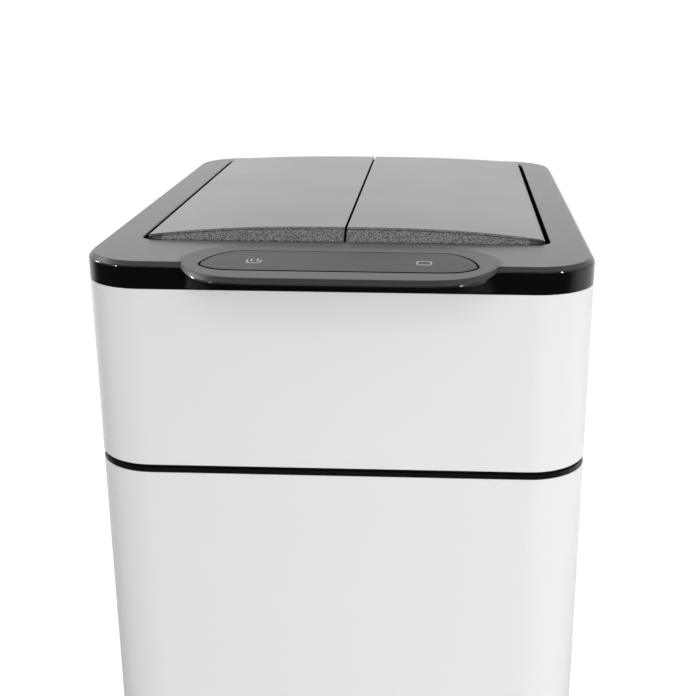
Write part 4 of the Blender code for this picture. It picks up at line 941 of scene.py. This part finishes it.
@dataclass
class SensorWindow:
    """The dark window in the tongue and its two printed pictograms.

    Attributes:
        middle: X of its middle.
        half_length: half its length.
        tip_y: Y of its two tips.
        back_depth: how far its back edge lies behind the tips.
        front_depth: how far its front edge lies before them.
        low: height of its underside.
        top: height of its top.
        edge: rounding of its top edge.
        back_shares: points of its back edge, as shares of the half length and the depth.
        front_shares: the same for its front edge.
        print_thickness: thickness of the prints, thicker than real ink so that they show.
        stroke: width of a print's lines that run to the back.
        bar: width of those that run across, which the camera sees foreshortened.
        tray: points of the open tray.
        ticks: ends of the two short strokes over it.
        lid_mark: left, front, right and back of the closed lid.
        lid_mark_corner: its corner radius.
        end_share: rounding of a line's ends, as a share of half its width.
    """

    middle: float = Tongue.middle
    half_length: float = 0.0798
    tip_y: float = Tongue.root
    back_depth: float = 0.033
    front_depth: float = 0.0147
    low: float = 0.6178
    top: float = 0.6202
    edge: float = 0.0006
    back_shares: tuple[tuple[float, float], ...] = (
        (0.996, 0.12), (0.983, 0.27), (0.968, 0.41), (0.950, 0.52), (0.926, 0.64), (0.895, 0.75), (0.860, 0.85),
        (0.820, 0.93), (0.775, 0.975), (0.725, 0.995), (0.66, 1.0),
    )
    front_shares: tuple[tuple[float, float], ...] = (
        (0.994, 0.17), (0.978, 0.35), (0.950, 0.53), (0.914, 0.70), (0.875, 0.83), (0.830, 0.92), (0.774, 0.97),
        (0.70, 0.995), (0.60, 1.0),
    )
    print_thickness: float = 0.00006
    stroke: float = 0.0010
    bar: float = 0.0014
    tray: Outline = field(default_factory=lambda: [
        (-0.0521, -0.1738), (-0.0518, -0.1793), (-0.0507, -0.1812), (-0.0449, -0.1812), (-0.0438, -0.1793),
        (-0.0439, -0.1744),
    ])
    ticks: tuple[tuple[tuple[float, float], tuple[float, float]], ...] = (
        ((-0.0498, -0.1718), (-0.0496, -0.1770)), ((-0.0462, -0.1718), (-0.0460, -0.1766)),
    )
    lid_mark: tuple[float, float, float, float] = (0.0461, -0.1809, 0.0553, -0.1711)
    lid_mark_corner: float = 0.0027
    end_share: float = 0.98

    @property
    def print_low(self) -> float:
        """Height of the prints' underside, just clear of the window."""
        return self.top + self.print_thickness / 3

    def outline(self, grow: float) -> Outline:
        """The window's plan.

        Args:
            grow: how far the plan is grown.

        Returns:
            Its points, anticlockwise.
        """
        half = self.half_length + grow
        back, front = self.back_depth + grow, self.front_depth + grow
        rear = [(a * half, self.tip_y + b * back) for a, b in self.back_shares]
        near = [(a * half, self.tip_y - b * front) for a, b in self.front_shares]
        right = [(half, self.tip_y)] + rear
        left = [(-x, y) for x, y in reversed(rear)] + [(-half, self.tip_y)]
        plan = right + left + [(-x, y) for x, y in near] + list(reversed(near))
        return [(self.middle + x, y) for x, y in plan]

    def stroke_between(self, start: tuple[float, float], end: tuple[float, float], width: float) -> bpy.types.Object:
        """One printed stroke with round ends.

        Args:
            start: the middle of one end, in plan.
            end: the middle of the other.
            width: how wide it is.

        Returns:
            The new piece.
        """
        a, b = Vector((*start, 0.0)), Vector((*end, 0.0))
        half, length = width / 2, (b - a).length / 2
        low = self.print_low
        mark = slab(
            "stroke", (-length - half, -half, low), (length + half, half, low + self.print_thickness),
            half * self.end_share, 6,
        )
        mark.rotation_euler = (0.0, 0.0, math.atan2(b.y - a.y, b.x - a.x))
        mark.location = ((a + b) / 2).to_tuple()
        return settle(mark)

    def pictograms(self) -> bpy.types.Object:
        """The open tray on the left and the closed lid on the right, as thin prints.

        Returns:
            Both prints as one object.
        """
        strokes = [
            self.stroke_between(start, end, self.bar if start[1] == end[1] else self.stroke)
            for start, end in (*zip(self.tray, self.tray[1:]), *self.ticks)
        ]
        low, high = self.print_low, self.print_low + self.print_thickness
        left, front, right, back = self.lid_mark
        prints = slab("window_pictograms", (left, front, low), (right, back, high), self.lid_mark_corner, 8)
        inner = slab(
            "hole", (left + self.stroke, front + self.bar, low - LAP),
            (right - self.stroke, back - self.bar, high + LAP), self.lid_mark_corner - self.bar, 8,
        )
        combine(prints, inner, Cut.REMOVE)
        for stroke in strokes:
            combine(prints, stroke, Cut.ADD)
        return prints

    def build(self) -> None:
        """Makes the window and its prints and sets them on the head."""
        window = plate("window_lens", self.outline(0.0), self.low, self.top)
        round_edges(window, lambda e: level_at(self.top)(e) and is_corner(e, 60.0), self.edge, 3)
        smooth(window)
        window.data.materials.append(DARK_ACRYLIC.material())
        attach(window, "head")
        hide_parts("sensor_window")
        prints = self.pictograms()
        prints.data.materials.append(PALE_INK.material())
        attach(prints, "head")
        LOG.info("%s and %s ride on head", window.name, prints.name)


@dataclass
class LidFrame:
    """The black top frame: bevelled plate, skirt, sensor tongue, collar and bosses.

    Attributes:
        sizes: the bin's sizes.
        tongue: the tongue's shape.
        window: the window's shape.
        wall: thickness of the frame's walls.
        chamfer: width of the bevel round its top.
        crest: rounding of the bevel's top edge.
        low_crest: rounding of its bottom edge.
        opening_crest: rounding of the opening's edge.
        tongue_edge: height of the tongue's edge.
        opening: half width, front and back of the lid opening.
        opening_corner: its corner radius.
        opening_steps: segments in each corner.
        setback: how far the collar's inner face lies outside the opening.
        collar_wall: the collar's wall.
        collar_bottom: height of its lower edge.
        tongue_roof: height above which the skirt is open towards the tongue.
        tongue_space_back: how far that space reaches behind the front edge.
        locator: inset of the locating wall's two faces, and height of its bottom.
        window_seat: height of the ledge under the window.
        groove: width of the groove round the window.
        ledge_width: how far the ledge reaches out of the window's plan, and into it.
        ledge_thickness: the ledge's thickness.
        boss_places: X and Y of the screw bosses.
        boss: a boss's bottom, radius and sides.
        bore: its screw hole's top, radius and sides.
        rest_ledge: half width, reach, bottom and top of the ledges for the rest pads.
        hinge: X and Z of the hinge axes.
        bush: a bushing's setback, half length, radius and sides.
    """

    sizes: BinSizes = field(default_factory=BinSizes)
    tongue: Tongue = field(default_factory=Tongue)
    window: SensorWindow = field(default_factory=SensorWindow)
    wall: float = 0.0025
    chamfer: float = 0.0028
    crest: float = 0.0005
    low_crest: float = 0.0009
    opening_crest: float = 0.0011
    tongue_edge: float = 0.0044
    opening: tuple[float, float, float] = (0.1284, -0.1225, 0.1995)
    opening_corner: float = 0.010
    opening_steps: int = 12
    setback: float = 0.0016
    collar_wall: float = 0.002
    collar_bottom: float = 0.596
    tongue_roof: float = 0.6097
    tongue_space_back: float = 0.007
    locator: tuple[float, float, float] = (0.0014, 0.0034, 0.592)
    window_seat: float = 0.6175
    groove: float = 0.0013
    ledge_width: float = 0.003
    ledge_thickness: float = 0.0024
    boss_places: tuple[tuple[float, float], ...] = (
        (-0.128, -0.1665), (0.128, -0.1665), (-0.140, -0.1455), (0.140, -0.1455),
    )
    boss: tuple[float, float, int] = (0.5588, 0.0035, 20)
    bore: tuple[float, float, int] = (0.5725, 0.0016, 16)
    rest_ledge: tuple[float, float, float, float] = (0.015, 0.008, 0.603, 0.606)
    hinge: tuple[float, float] = (0.1117, 0.6125)
    bush: tuple[float, float, float, int] = (0.0026, 0.004, 0.0043, 32)

    # A face whose normal's share along Z is under this is too steep for the frame's top finish, and takes the skirt's
    # finish with its painted shade.
    STEEP: ClassVar[float] = 0.69

    @property
    def under(self) -> float:
        """Height of the top plate's underside."""
        return self.sizes.lid_top - self.wall

    def ring(self, name: str, outer: float, inner: float, low: float, high: float) -> bpy.types.Object:
        """A wall round the lid opening.

        Args:
            name: the piece's name.
            outer: how far its outer face lies outside the opening.
            inner: the same for its inner face.
            low: its bottom.
            high: its top.

        Returns:
            The new piece.
        """
        half, front, back = self.opening
        walls = []
        for grow, spare in ((outer, 0.0), (inner, OVERRUN)):
            walls.append(slab(
                name, (-half - grow, front - grow, low - spare), (half + grow, back + grow, high + spare),
                self.opening_corner + grow, self.opening_steps,
            ))
        return combine(walls[0], walls[1], Cut.REMOVE)

    def plan(self, name: str, inset: float, low: float, high: float) -> bpy.types.Object:
        """A slab with the bin's plan.

        Args:
            name: the piece's name.
            inset: how far it lies inside the plan.
            low: its bottom.
            high: its top.

        Returns:
            The new piece.
        """
        s = self.sizes
        return slab(
            name, (-s.half_width + inset, s.front + inset, low), (s.half_width - inset, s.back - inset, high),
            s.corner - inset, s.corner_steps,
        )

    def outside(self) -> bpy.types.Object:
        """The solid outside form: bevelled plate and tongue in one, with rounded crests.

        Returns:
            The new piece.
        """
        top, tongue = self.sizes.lid_top, self.tongue
        frame = self.plan("lid_frame_skin", 0.0, self.sizes.skirt_bottom, top)
        round_edges(frame, lambda e: level_at(top)(e) and is_corner(e, 60.0), self.chamfer, 1)
        combine(frame, tongue.body(top - self.tongue_edge, top), Cut.ADD)
        with editing(frame, Pick.FACES):
            pick(frame, Pick.FACES, lambda f: f.normal.z > FACING and f.calc_center_median().z > top - 10 * SAME_HEIGHT)
            bpy.ops.mesh.dissolve_faces()
        for height, least in ((top - tongue.bevel_depth, 5.0), (top - self.chamfer, 20.0)):
            round_edges(frame, lambda e: level_at(height)(e) and is_corner(e, least), self.low_crest, 3)
            weld(frame)
        round_edges(frame, lambda e: level_at(top)(e) and is_corner(e, 10.0), self.crest, 3)
        weld(frame)
        return frame

    def hollow_out(self, frame: bpy.types.Object) -> None:
        """Empties the frame and the tongue, and adds the wall that locates the frame in the head band.

        Args:
            frame: the frame so far.
        """
        low = self.sizes.skirt_bottom
        combine(frame, self.plan("hollow", self.wall, low - OVERRUN, self.under), Cut.REMOVE)
        space = self.tongue.plan(self.wall, self.wall, self.tongue.root + self.tongue_space_back)
        combine(frame, plate("hollow", space, self.tongue_roof, self.under), Cut.REMOVE)
        near, far, bottom = self.locator
        wall = combine(
            self.plan("locator", near, bottom, low + self.wall),
            self.plan("hollow", far, bottom - OVERRUN, low + OVERRUN), Cut.REMOVE,
        )
        combine(frame, wall, Cut.ADD)

    def cut_opening(self, frame: bpy.types.Object) -> None:
        """Adds the collar and cuts the lid opening, with a rounded edge.

        Args:
            frame: the frame so far.
        """
        top = self.sizes.lid_top
        outer = self.setback + self.collar_wall
        combine(frame, self.ring("collar", outer, self.setback, self.collar_bottom, self.under + LAP), Cut.ADD)
        half, front, back = self.opening
        hole = slab(
            "hole", (-half, front, self.under - LAP), (half, back, top + OVERRUN), self.opening_corner,
            self.opening_steps,
        )
        combine(frame, hole, Cut.REMOVE)
        near = LAP / 10
        round_edges(
            frame,
            lambda e: level_at(top)(e) and is_corner(e, 60.0)
            and all(abs(v.co.x) < half + near and v.co.y > front - near for v in e.verts),
            self.opening_crest, 4,
        )

    def add_bosses(self, frame: bpy.types.Object) -> None:
        """Adds the screw bosses and the ledges that the rest pads lie on.

        Args:
            frame: the frame so far.
        """
        boss_low, boss_radius, boss_sides = self.boss
        bore_top, bore_radius, bore_sides = self.bore
        for x, y in self.boss_places:
            boss = rod("boss", (x, y, boss_low), (x, y, self.under + LAP), boss_radius, boss_sides)
            combine(frame, boss, Cut.ADD)
            bore = rod("bore", (x, y, boss_low - OVERRUN), (x, y, bore_top), bore_radius, bore_sides)
            combine(frame, bore, Cut.REMOVE)
        half, reach, low, high = self.rest_ledge
        for wall_y, inward in ((self.opening[1] - self.setback, 1.0), (self.opening[2] + self.setback, -1.0)):
            ends = sorted((wall_y - inward * LAP, wall_y + inward * reach))
            combine(frame, block("ledge", (-half, ends[0], low), (half, ends[1], high)), Cut.ADD)

    def seat_window(self, frame: bpy.types.Object) -> None:
        """Adds the ledge under the window and cuts its pocket.

        Args:
            frame: the frame so far.
        """
        seat, top = self.window_seat, self.sizes.lid_top
        ledge = plate("ledge", self.window.outline(self.ledge_width), seat - self.ledge_thickness, self.under + LAP)
        hole = plate("hole", self.window.outline(-self.ledge_width), seat - OVERRUN, top + OVERRUN)
        combine(ledge, hole, Cut.REMOVE)
        combine(frame, ledge, Cut.ADD)
        combine(frame, plate("pocket", self.window.outline(self.groove), seat, top + OVERRUN), Cut.REMOVE)

    def bore_hinges(self, frame: bpy.types.Object) -> None:
        """Bores the collar for the four hinge bushings.

        Args:
            frame: the frame so far.
        """
        x, z = self.hinge
        setback, half, radius, sides = self.bush
        for side in Side:
            for middle in (self.opening[1] - setback, self.opening[2] + setback):
                start, end = (side.value * x, middle - half, z), (side.value * x, middle + half, z)
                combine(frame, rod("bush_hole", start, end, radius, sides), Cut.REMOVE)

    def dress(self, frame: bpy.types.Object) -> None:
        """Gives the frame's top and its skirt their finishes; the skirt's steep faces are painted darker as shade.

        Args:
            frame: the finished frame.
        """
        frame.data.materials.append(LidPlastic().material(self.tongue.zone))
        frame.data.materials.append(SHADED_SKIRT_ABS.material())
        # Painted shade: the steep faces take the skirt's darker colour.
        skirt_top = self.sizes.lid_top - self.chamfer + self.crest
        with editing(frame, Pick.FACES):
            pick(frame, Pick.FACES, lambda f: f.calc_center_median().z < skirt_top and f.normal.z < self.STEEP)
            frame.active_material_index = 1
            bpy.ops.object.material_slot_assign()

    def build(self) -> None:
        """Makes the frame, sets it on the head and adds the tongue's cover."""
        frame = self.outside()
        self.hollow_out(frame)
        self.cut_opening(frame)
        self.add_bosses(frame)
        self.seat_window(frame)
        self.bore_hinges(frame)
        smooth(frame)
        self.dress(frame)
        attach(frame, "head")
        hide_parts("lid_frame")
        LOG.info("%s rides on head", frame.name)
        self.tongue.cover()


@dataclass
class FlapSkins:
    """The two smooth arched skins of the butterfly flaps, with leaning ends and round outer corners.

    Attributes:
        inner: distance of a flap's inner side from the centre line.
        outer: distance of its outer side.
        front: Y of the flaps' front.
        back: Y of their back.
        lid_top: height of the frame's flat top.
        side_rise: how far the outer sides stand over it.
        ridge_rise: how far the ridge does.
        power: power of the arch between them.
        lean: how far the ends lean inward at the ridge.
        lean_spare: how much further the thin ends reach.
        ease: width of the slope at the outer sides.
        corner: radius of the outer corners.
        corner_steps: segments in each.
        wall: a skin's thickness.
        thin: its thickness over the grained end walls.
        lip: how far its sides hang down.
        edge: rounding of its edges.
        strips: flat strips that make up a flap's arch.
        spare: how far cutting tools reach past the skin.
        crest_slack: height over the lid from which edges are rounded.
        upward: share of a normal along Z from which a face belongs to the arch.
        slack: how far a grained face's normal may be off.
    """

    inner: float = 0.0008
    outer: float = 0.1252
    front: float = -0.1212
    back: float = 0.1982
    lid_top: float = BinSizes.lid_top
    side_rise: float = 0.0020
    ridge_rise: float = 0.0069
    power: float = 2.6
    lean: float = 0.0110
    lean_spare: float = 0.0003
    ease: float = 0.0018
    corner: float = 0.008
    corner_steps: int = 12
    wall: float = 0.0018
    thin: float = 0.0010
    lip: float = 0.0050
    edge: float = 0.0004
    strips: int = 28
    spare: float = 0.002
    crest_slack: float = 0.0002
    upward: float = 0.9
    slack: float = 0.02

    def rise(self, x: float) -> float:
        """Height of the arch over the lid at a distance from the centre line."""
        share = min(1.0, abs(x) / self.outer)
        return self.side_rise + (self.ridge_rise - self.side_rise) * (1.0 - share**self.power)

    def arched(
        self, name: str, span: tuple[float, float], ends: tuple[float, float], low: float, drop: float, side: Side,
    ) -> bpy.types.Object:
        """A block whose top follows the arch.

        Args:
            name: the piece's name.
            span: distances of its two sides from the centre line.
            ends: Y of its front and back.
            low: height of its flat bottom.
            drop: how far its top lies under the arch.
            side: which flap.

        Returns:
            The new piece.
        """
        left, right = sorted(side.value * x for x in span)
        piece = block(name, (left, ends[0], low), (right, ends[1], self.lid_top))
        with editing(piece):
            for i in range(1, self.strips):
                bpy.ops.mesh.select_all(action="SELECT")
                x = left + (right - left) * i / self.strips
                bpy.ops.mesh.bisect(plane_co=(x, 0.0, 0.0), plane_no=(1.0, 0.0, 0.0), threshold=SAME_HEIGHT)
        for corner in piece.data.vertices:
            if corner.co.z > self.lid_top - SAME_HEIGHT:
                corner.co.z = self.lid_top + self.rise(corner.co.x) - drop
        return piece

    def ease_side(self, piece: bpy.types.Object, side: Side, drop: float) -> None:
        """Cuts the slope at the outer side.

        Args:
            piece: an arched block.
            side: which flap.
            drop: how far its top lies under the arch.
        """
        x = self.outer - self.ease
        with editing(piece):
            bpy.ops.mesh.select_all(action="SELECT")
            bpy.ops.mesh.bisect(
                plane_co=(side.value * x, 0.0, self.lid_top + self.rise(x) - drop),
                plane_no=Vector((side.value, 0.0, 1.0)).normalized(), clear_outer=True, use_fill=True,
                threshold=SAME_HEIGHT / 10,
            )

    def lean_ends(self, piece: bpy.types.Object) -> None:
        """Cuts the two leaning ends.

        Args:
            piece: an arched block.
        """
        with editing(piece):
            for y, way in ((self.front, -1.0), (self.back, 1.0)):
                bpy.ops.mesh.select_all(action="SELECT")
                bpy.ops.mesh.bisect(
                    plane_co=(0.0, y, self.lid_top),
                    plane_no=Vector((0.0, way * self.ridge_rise, self.lean)).normalized(),
                    clear_outer=True, use_fill=True, threshold=SAME_HEIGHT / 10,
                )

    def skin(self, side: Side) -> bpy.types.Object:
        """Makes one skin.

        Args:
            side: which flap.

        Returns:
            The new piece.
        """
        low = self.lid_top + self.side_rise - self.lip
        piece = self.arched(
            side.word + "_flap_skin", (self.inner, self.outer), (self.front, self.back), low, 0.0, side,
        )
        self.ease_side(piece, side, 0.0)
        self.lean_ends(piece)
        deep, bottom = self.lean + self.lean_spare, low - self.spare
        inside = (self.inner + self.wall, self.outer - self.wall)
        hollow = self.arched("hollow", inside, (self.front + deep, self.back - deep), bottom, self.wall, side)
        combine(piece, hollow, Cut.REMOVE)
        across = (self.inner - self.spare, self.outer + self.spare)
        for ends in ((self.front - self.spare, self.front + deep), (self.back - deep, self.back + self.spare)):
            under = self.arched("hollow", across, ends, bottom, self.thin, side)
            self.ease_side(under, side, self.thin)
            combine(piece, under, Cut.REMOVE)
        both = slab(
            "plan", (-self.outer, self.front, low - OVERRUN), (self.outer, self.back, self.lid_top + 2 * OVERRUN),
            self.corner, self.corner_steps,
        )
        combine(piece, both, Cut.KEEP)
        crest = self.lid_top + self.crest_slack
        round_edges(
            piece,
            lambda e: is_corner(e, 20.0) and any(f.normal.z > self.upward for f in e.link_faces)
            and all(v.co.z > crest for v in e.verts),
            self.edge, 3,
        )
        return smooth(piece)

    def build(self) -> None:
        """Makes both skins and sets them on their flaps."""
        finish, grained = FLAP_SKIN.material(), GRAINED_ABS.material()
        steep = math.atan2(self.lean, self.ridge_rise)
        for side in Side:
            piece = self.skin(side)
            piece.data.materials.append(finish)
            piece.data.materials.append(grained)
            with editing(piece, Pick.FACES):
                pick(
                    piece, Pick.FACES,
                    lambda f: abs(f.normal.z - math.sin(steep)) < self.slack and abs(f.normal.x) < self.slack,
                )
                piece.active_material_index = 1
                bpy.ops.object.material_slot_assign()
            body = side.word + "_flap"
            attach(piece, body)
            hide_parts(body + "_cover")
            LOG.info("%s rides on %s", piece.name, body)


@dataclass
class CadDressing:
    """Gives each CAD node that stays its real finish.

    Attributes:
        nodes: the frame's nodes by name.
        words: what a node's name holds, and its finish. The first that fits counts.
    """

    nodes: dict[str, bpy.types.Object]
    words: tuple[tuple[str, Finish], ...] = (
        ("flap_carrier", GRAINED_ABS), ("foot", SOFT_RUBBER), ("rest_pad", SOFT_RUBBER), ("screw", ZINC_STEEL),
        ("shaft", ZINC_STEEL), ("rear_pin", ZINC_STEEL), ("motor_can", ZINC_STEEL), ("contact_plate", NICKEL_SPRING),
        ("touch_pad", COPPER), ("ir_", DARK_ACRYLIC), ("bushing", NYLON), ("rack", ACETAL), ("pinion", ACETAL),
        ("flap_gear", ACETAL), ("control_board", BOARD_MASK), ("aa_cell", CELL_WRAP), ("lead", LEAD_PVC),
        ("liner", LINER_PP), ("bag_ring", LINER_PP), ("housing", LINER_PP), ("gearbox", LINER_PP),
        ("battery", LINER_PP), ("base_pan", LINER_PP),
    )

    def finish_of(self, node: str) -> Finish:
        """The finish of a CAD node, by its name."""
        return next((finish for word, finish in self.words if word in node), BLACK_ABS)

    def build(self) -> None:
        """Puts a material on every CAD node."""
        made: dict[str, bpy.types.Material] = {}
        for name, node in self.nodes.items():
            finish = self.finish_of(name)
            if finish.name not in made:
                made[finish.name] = finish.material()
            for place in node.material_slots:
                place.material = made[finish.name]
            LOG.info("%s has %s", name, finish.name)


# ---- Floor, light and camera ----


@dataclass(frozen=True)
class SoftBox:
    """One rectangular soft box.

    Attributes:
        name: the lamp's name.
        place: its middle.
        aim: the point that it faces.
        size: its width and height.
        watts: its power.
        mirrored: whether glossy surfaces show it.
        lights: whether it lights matt surfaces.
        spread: how wide its grid lets it shine, in degrees.
    """

    name: str
    place: Point
    aim: Point
    size: tuple[float, float]
    watts: float
    mirrored: bool = True
    lights: bool = True
    spread: float = 180.0

    def build(self) -> None:
        """Hangs the lamp."""
        lamp = bpy.data.lights.new(self.name, "AREA")
        lamp.shape = "RECTANGLE"
        lamp.size, lamp.size_y = self.size
        lamp.energy = self.watts
        lamp.spread = math.radians(self.spread)
        holder = bpy.data.objects.new(self.name, lamp)
        bpy.context.scene.collection.objects.link(holder)
        holder.visible_glossy = self.mirrored
        holder.visible_diffuse = self.lights
        holder.location = self.place
        holder.rotation_euler = (Vector(self.aim) - Vector(self.place)).to_track_quat("-Z", "Y").to_euler()


# The fills light the white steel and don't show in it. The sparks, close beams on the ends of the tongue, make its
# small highlights and light nothing else.
SOFT_BOXES = (
    SoftBox("back_box", (0.0, 2.6, 1.25), (0.0, 0.0, 0.6), (4.4, 1.3), 5.0),
    SoftBox("key_box", (0.45, -1.02, 0.45), (0.0, -0.18, 0.42), (0.5, 0.8), 3.9, mirrored=False),
    SoftBox("left_fill", (-1.1, -0.8, 0.45), (0.0, -0.1, 0.42), (0.6, 0.8), 2.5, mirrored=False),
    SoftBox("right_fill", (1.25, -0.45, 0.45), (0.0, -0.1, 0.42), (0.6, 0.8), 3.0, mirrored=False),
    SoftBox("left_strip", (-1.3, 0.10, 1.45), (0.0, -0.1, 0.55), (1.2, 0.3), 3.0),
    SoftBox("back_fill", (0.3, 1.7, 0.40), (0.0, 0.2, 0.32), (0.9, 0.7), 4.0, mirrored=False),
    SoftBox(
        "left_spark", (-1.41, -0.94, 1.22), (-0.088, -0.190, 0.617), (0.08, 0.08), 0.011, lights=False, spread=6.0,
    ),
    SoftBox(
        "tip_spark", (-1.53, 0.28, 1.02), (-0.075, -0.207, 0.617), (0.08, 0.08), 0.011, lights=False, spread=6.0,
    ),
    SoftBox(
        "right_spark", (1.33, -1.01, 1.28), (0.082, -0.207, 0.617), (0.08, 0.08), 0.016, lights=False, spread=6.0,
    ),
    SoftBox("top_strip", (0.2, -1.7, 1.95), (0.0, -0.1, 0.6), (2.2, 0.05), 2.5),
)


@dataclass
class Studio:
    """White sweep, white room and the camera.

    Attributes:
        floor_half: half the floor's width.
        floor_low: how far it lies under the feet.
        eye: the camera's place.
        yaw: its turn to the right, in radians.
        pitch: its tilt down.
        roll: its lean.
        lens: its focal length in millimetres.
        sensor: its sensor's width in millimetres.
        shift: its lens shift.
        clip: nearest and furthest distance that it sees.
        fade: from where to where the floor's shine grows, as Y plus a share of X.
        fade_lean: that share.
        floor_glow: the floor's own light to the camera, to which the lamps add the rest up to white.
        dark_side: strength of the floor and the room before the object, as glossy surfaces see them.
        room_fade: from where to where the room gets light, as Y plus Z of the direction.
        near_fill: light that comes level from the room.
        high_fill: light that comes from above.
    """

    floor_half: float = 40.0
    floor_low: float = 0.0002
    eye: Point = (0.0624, -0.8299, 0.7790)
    yaw: float = -0.03312
    pitch: float = 0.32169
    roll: float = 0.00744
    lens: float = 60.08
    sensor: float = 36.0
    shift: tuple[float, float] = (-0.08358, 0.01777)
    clip: tuple[float, float] = (0.02, 200.0)
    fade: tuple[float, float] = (-0.3, 0.9)
    fade_lean: float = 0.35
    floor_glow: float = 0.89
    dark_side: float = 0.06
    room_fade: tuple[float, float] = (-0.6, 0.5)
    near_fill: float = 0.68
    high_fill: float = 0.10

    def kinds_of_ray(self, tree: bpy.types.NodeTree) -> tuple[bpy.types.NodeSocket, bpy.types.NodeSocket]:
        """Tells the camera's rays, also those through clear pieces, and the glossy ones from all others.

        Args:
            tree: the floor's or the world's node tree.

        Returns:
            The socket that is 1 for the camera's rays, and the one that is 1 for glossy rays.
        """
        rays = add_node(tree, "LightPath")
        seen = add_node(
            tree, "Math", {0: rays.outputs["Is Camera Ray"], 1: rays.outputs["Is Transmission Ray"]},
            operation="MAXIMUM",
        )
        return seen.outputs[0], rays.outputs["Is Glossy Ray"]

    def floor(self) -> None:
        """A white floor that keeps only the object's shadow, shines less before it and is clear from below."""
        bpy.ops.object.select_all(action="DESELECT")
        bpy.ops.mesh.primitive_plane_add(size=2 * self.floor_half, location=(0.0, 0.0, -self.floor_low))
        sheet = bpy.context.object
        sheet.name = "floor"
        settle(sheet)
        made = bpy.data.materials.new("white_sweep")
        made.use_nodes = True
        tree = made.node_tree
        out = tree.nodes["Material Output"]
        tree.nodes.remove(tree.nodes["Principled BSDF"])
        bounce = add_node(tree, "BsdfDiffuse", values={"Color": linear("#E6E6E6")})
        shade = add_node(tree, "BsdfDiffuse", values={"Color": linear("#A8A8A8")})
        glow = add_node(tree, "Emission", values={"Color": WHITE, "Strength": self.floor_glow})
        shown = add_node(tree, "AddShader", {0: shade.outputs[0], 1: glow.outputs[0]})
        place = add_node(tree, "TexCoord").outputs["Object"]
        axes = add_node(tree, "SeparateXYZ", {"Vector": place})
        leaning = add_node(
            tree, "Math", {0: axes.outputs["X"], 2: axes.outputs["Y"]}, {1: self.fade_lean}, operation="MULTIPLY_ADD",
        )
        fade = add_node(
            tree, "MapRange", {"Value": leaning.outputs[0]},
            {"From Min": self.fade[0], "From Max": self.fade[1], "To Min": self.dark_side, "To Max": 1.0},
        )
        shine = add_node(tree, "Emission", {"Strength": fade.outputs["Result"]}, {"Color": WHITE})
        seen, glossy = self.kinds_of_ray(tree)
        mirrored = add_node(tree, "MixShader", {0: glossy, 1: bounce.outputs[0], 2: shine.outputs[0]})
        mixed = add_node(tree, "MixShader", {0: seen, 1: mirrored.outputs[0], 2: shown.outputs[0]})
        below = add_node(tree, "NewGeometry").outputs["Backfacing"]
        clear = add_node(tree, "BsdfTransparent")
        one_way = add_node(tree, "MixShader", {0: below, 1: mixed.outputs[0], 2: clear.outputs[0]})
        tree.links.new(one_way.outputs[0], out.inputs["Surface"])
        sheet.data.materials.append(made)

    def world(self) -> None:
        """A white room to the camera, and a soft fill that is darker behind the camera."""
        world = bpy.data.worlds.new("studio")
        bpy.context.scene.world = world
        world.use_nodes = True
        tree = world.node_tree
        plain = tree.nodes["Background"]
        plain.inputs["Color"].default_value = WHITE
        plain.inputs["Strength"].default_value = 1.0
        way = add_node(tree, "TexCoord").outputs["Generated"]
        axes = add_node(tree, "SeparateXYZ", {"Vector": way})
        above = add_node(tree, "Math", {0: axes.outputs["Y"], 1: axes.outputs["Z"]}, operation="ADD")
        depth = add_node(
            tree, "MapRange", {"Value": above.outputs[0]},
            {"From Min": self.room_fade[0], "From Max": self.room_fade[1], "To Min": self.dark_side, "To Max": 1.0},
        )
        room = add_node(tree, "Background", {"Strength": depth.outputs["Result"]}, {"Color": WHITE})
        height = add_node(
            tree, "MapRange", {"Value": axes.outputs["Z"]}, {"To Min": self.near_fill, "To Max": self.high_fill},
        )
        fill = add_node(tree, "Background", {"Strength": height.outputs["Result"]}, {"Color": WHITE})
        seen, glossy = self.kinds_of_ray(tree)
        gloss = add_node(tree, "MixShader", {0: glossy, 1: fill.outputs[0], 2: room.outputs[0]})
        mixed = add_node(tree, "MixShader", {0: seen, 1: gloss.outputs[0], 2: plain.outputs[0]})
        tree.links.new(mixed.outputs[0], tree.nodes["World Output"].inputs["Surface"])

    def camera(self) -> None:
        """The camera at the photograph's place."""
        flat = math.cos(self.pitch)
        ahead = Vector((math.sin(self.yaw) * flat, math.cos(self.yaw) * flat, -math.sin(self.pitch)))
        right = Vector((math.cos(self.yaw), -math.sin(self.yaw), 0.0))
        up = right.cross(ahead)
        lean, hold = math.sin(self.roll), math.cos(self.roll)
        side, top = hold * right + lean * up, hold * up - lean * right
        turn = Matrix((side, top, -ahead)).transposed()
        data = bpy.data.cameras.new("camera")
        data.lens = self.lens
        data.sensor_width = self.sensor
        data.shift_x, data.shift_y = self.shift
        data.clip_start, data.clip_end = self.clip
        camera = bpy.data.objects.new("camera", data)
        bpy.context.scene.collection.objects.link(camera)
        camera.matrix_world = Matrix.Translation(self.eye) @ turn.to_4x4()
        bpy.context.scene.camera = camera

    def build(self) -> None:
        """Sets up the floor, the light and the camera."""
        self.floor()
        self.world()
        for lamp in SOFT_BOXES:
            lamp.build()
        self.camera()
        bpy.context.scene.view_settings.view_transform = "Standard"


def main() -> None:
    """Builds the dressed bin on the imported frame."""
    logging.basicConfig(level=logging.INFO, format="%(message)s")
    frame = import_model()
    bpy.ops.object.select_all(action="DESELECT")
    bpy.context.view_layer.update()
    CadDressing(frame["nodes"]).build()
    SteelBands().build()
    LidFrame().build()
    SensorWindow().build()
    FlapSkins().build()
    Studio().build()
    bpy.context.view_layer.update()


if __name__ == "__main__":
    main()
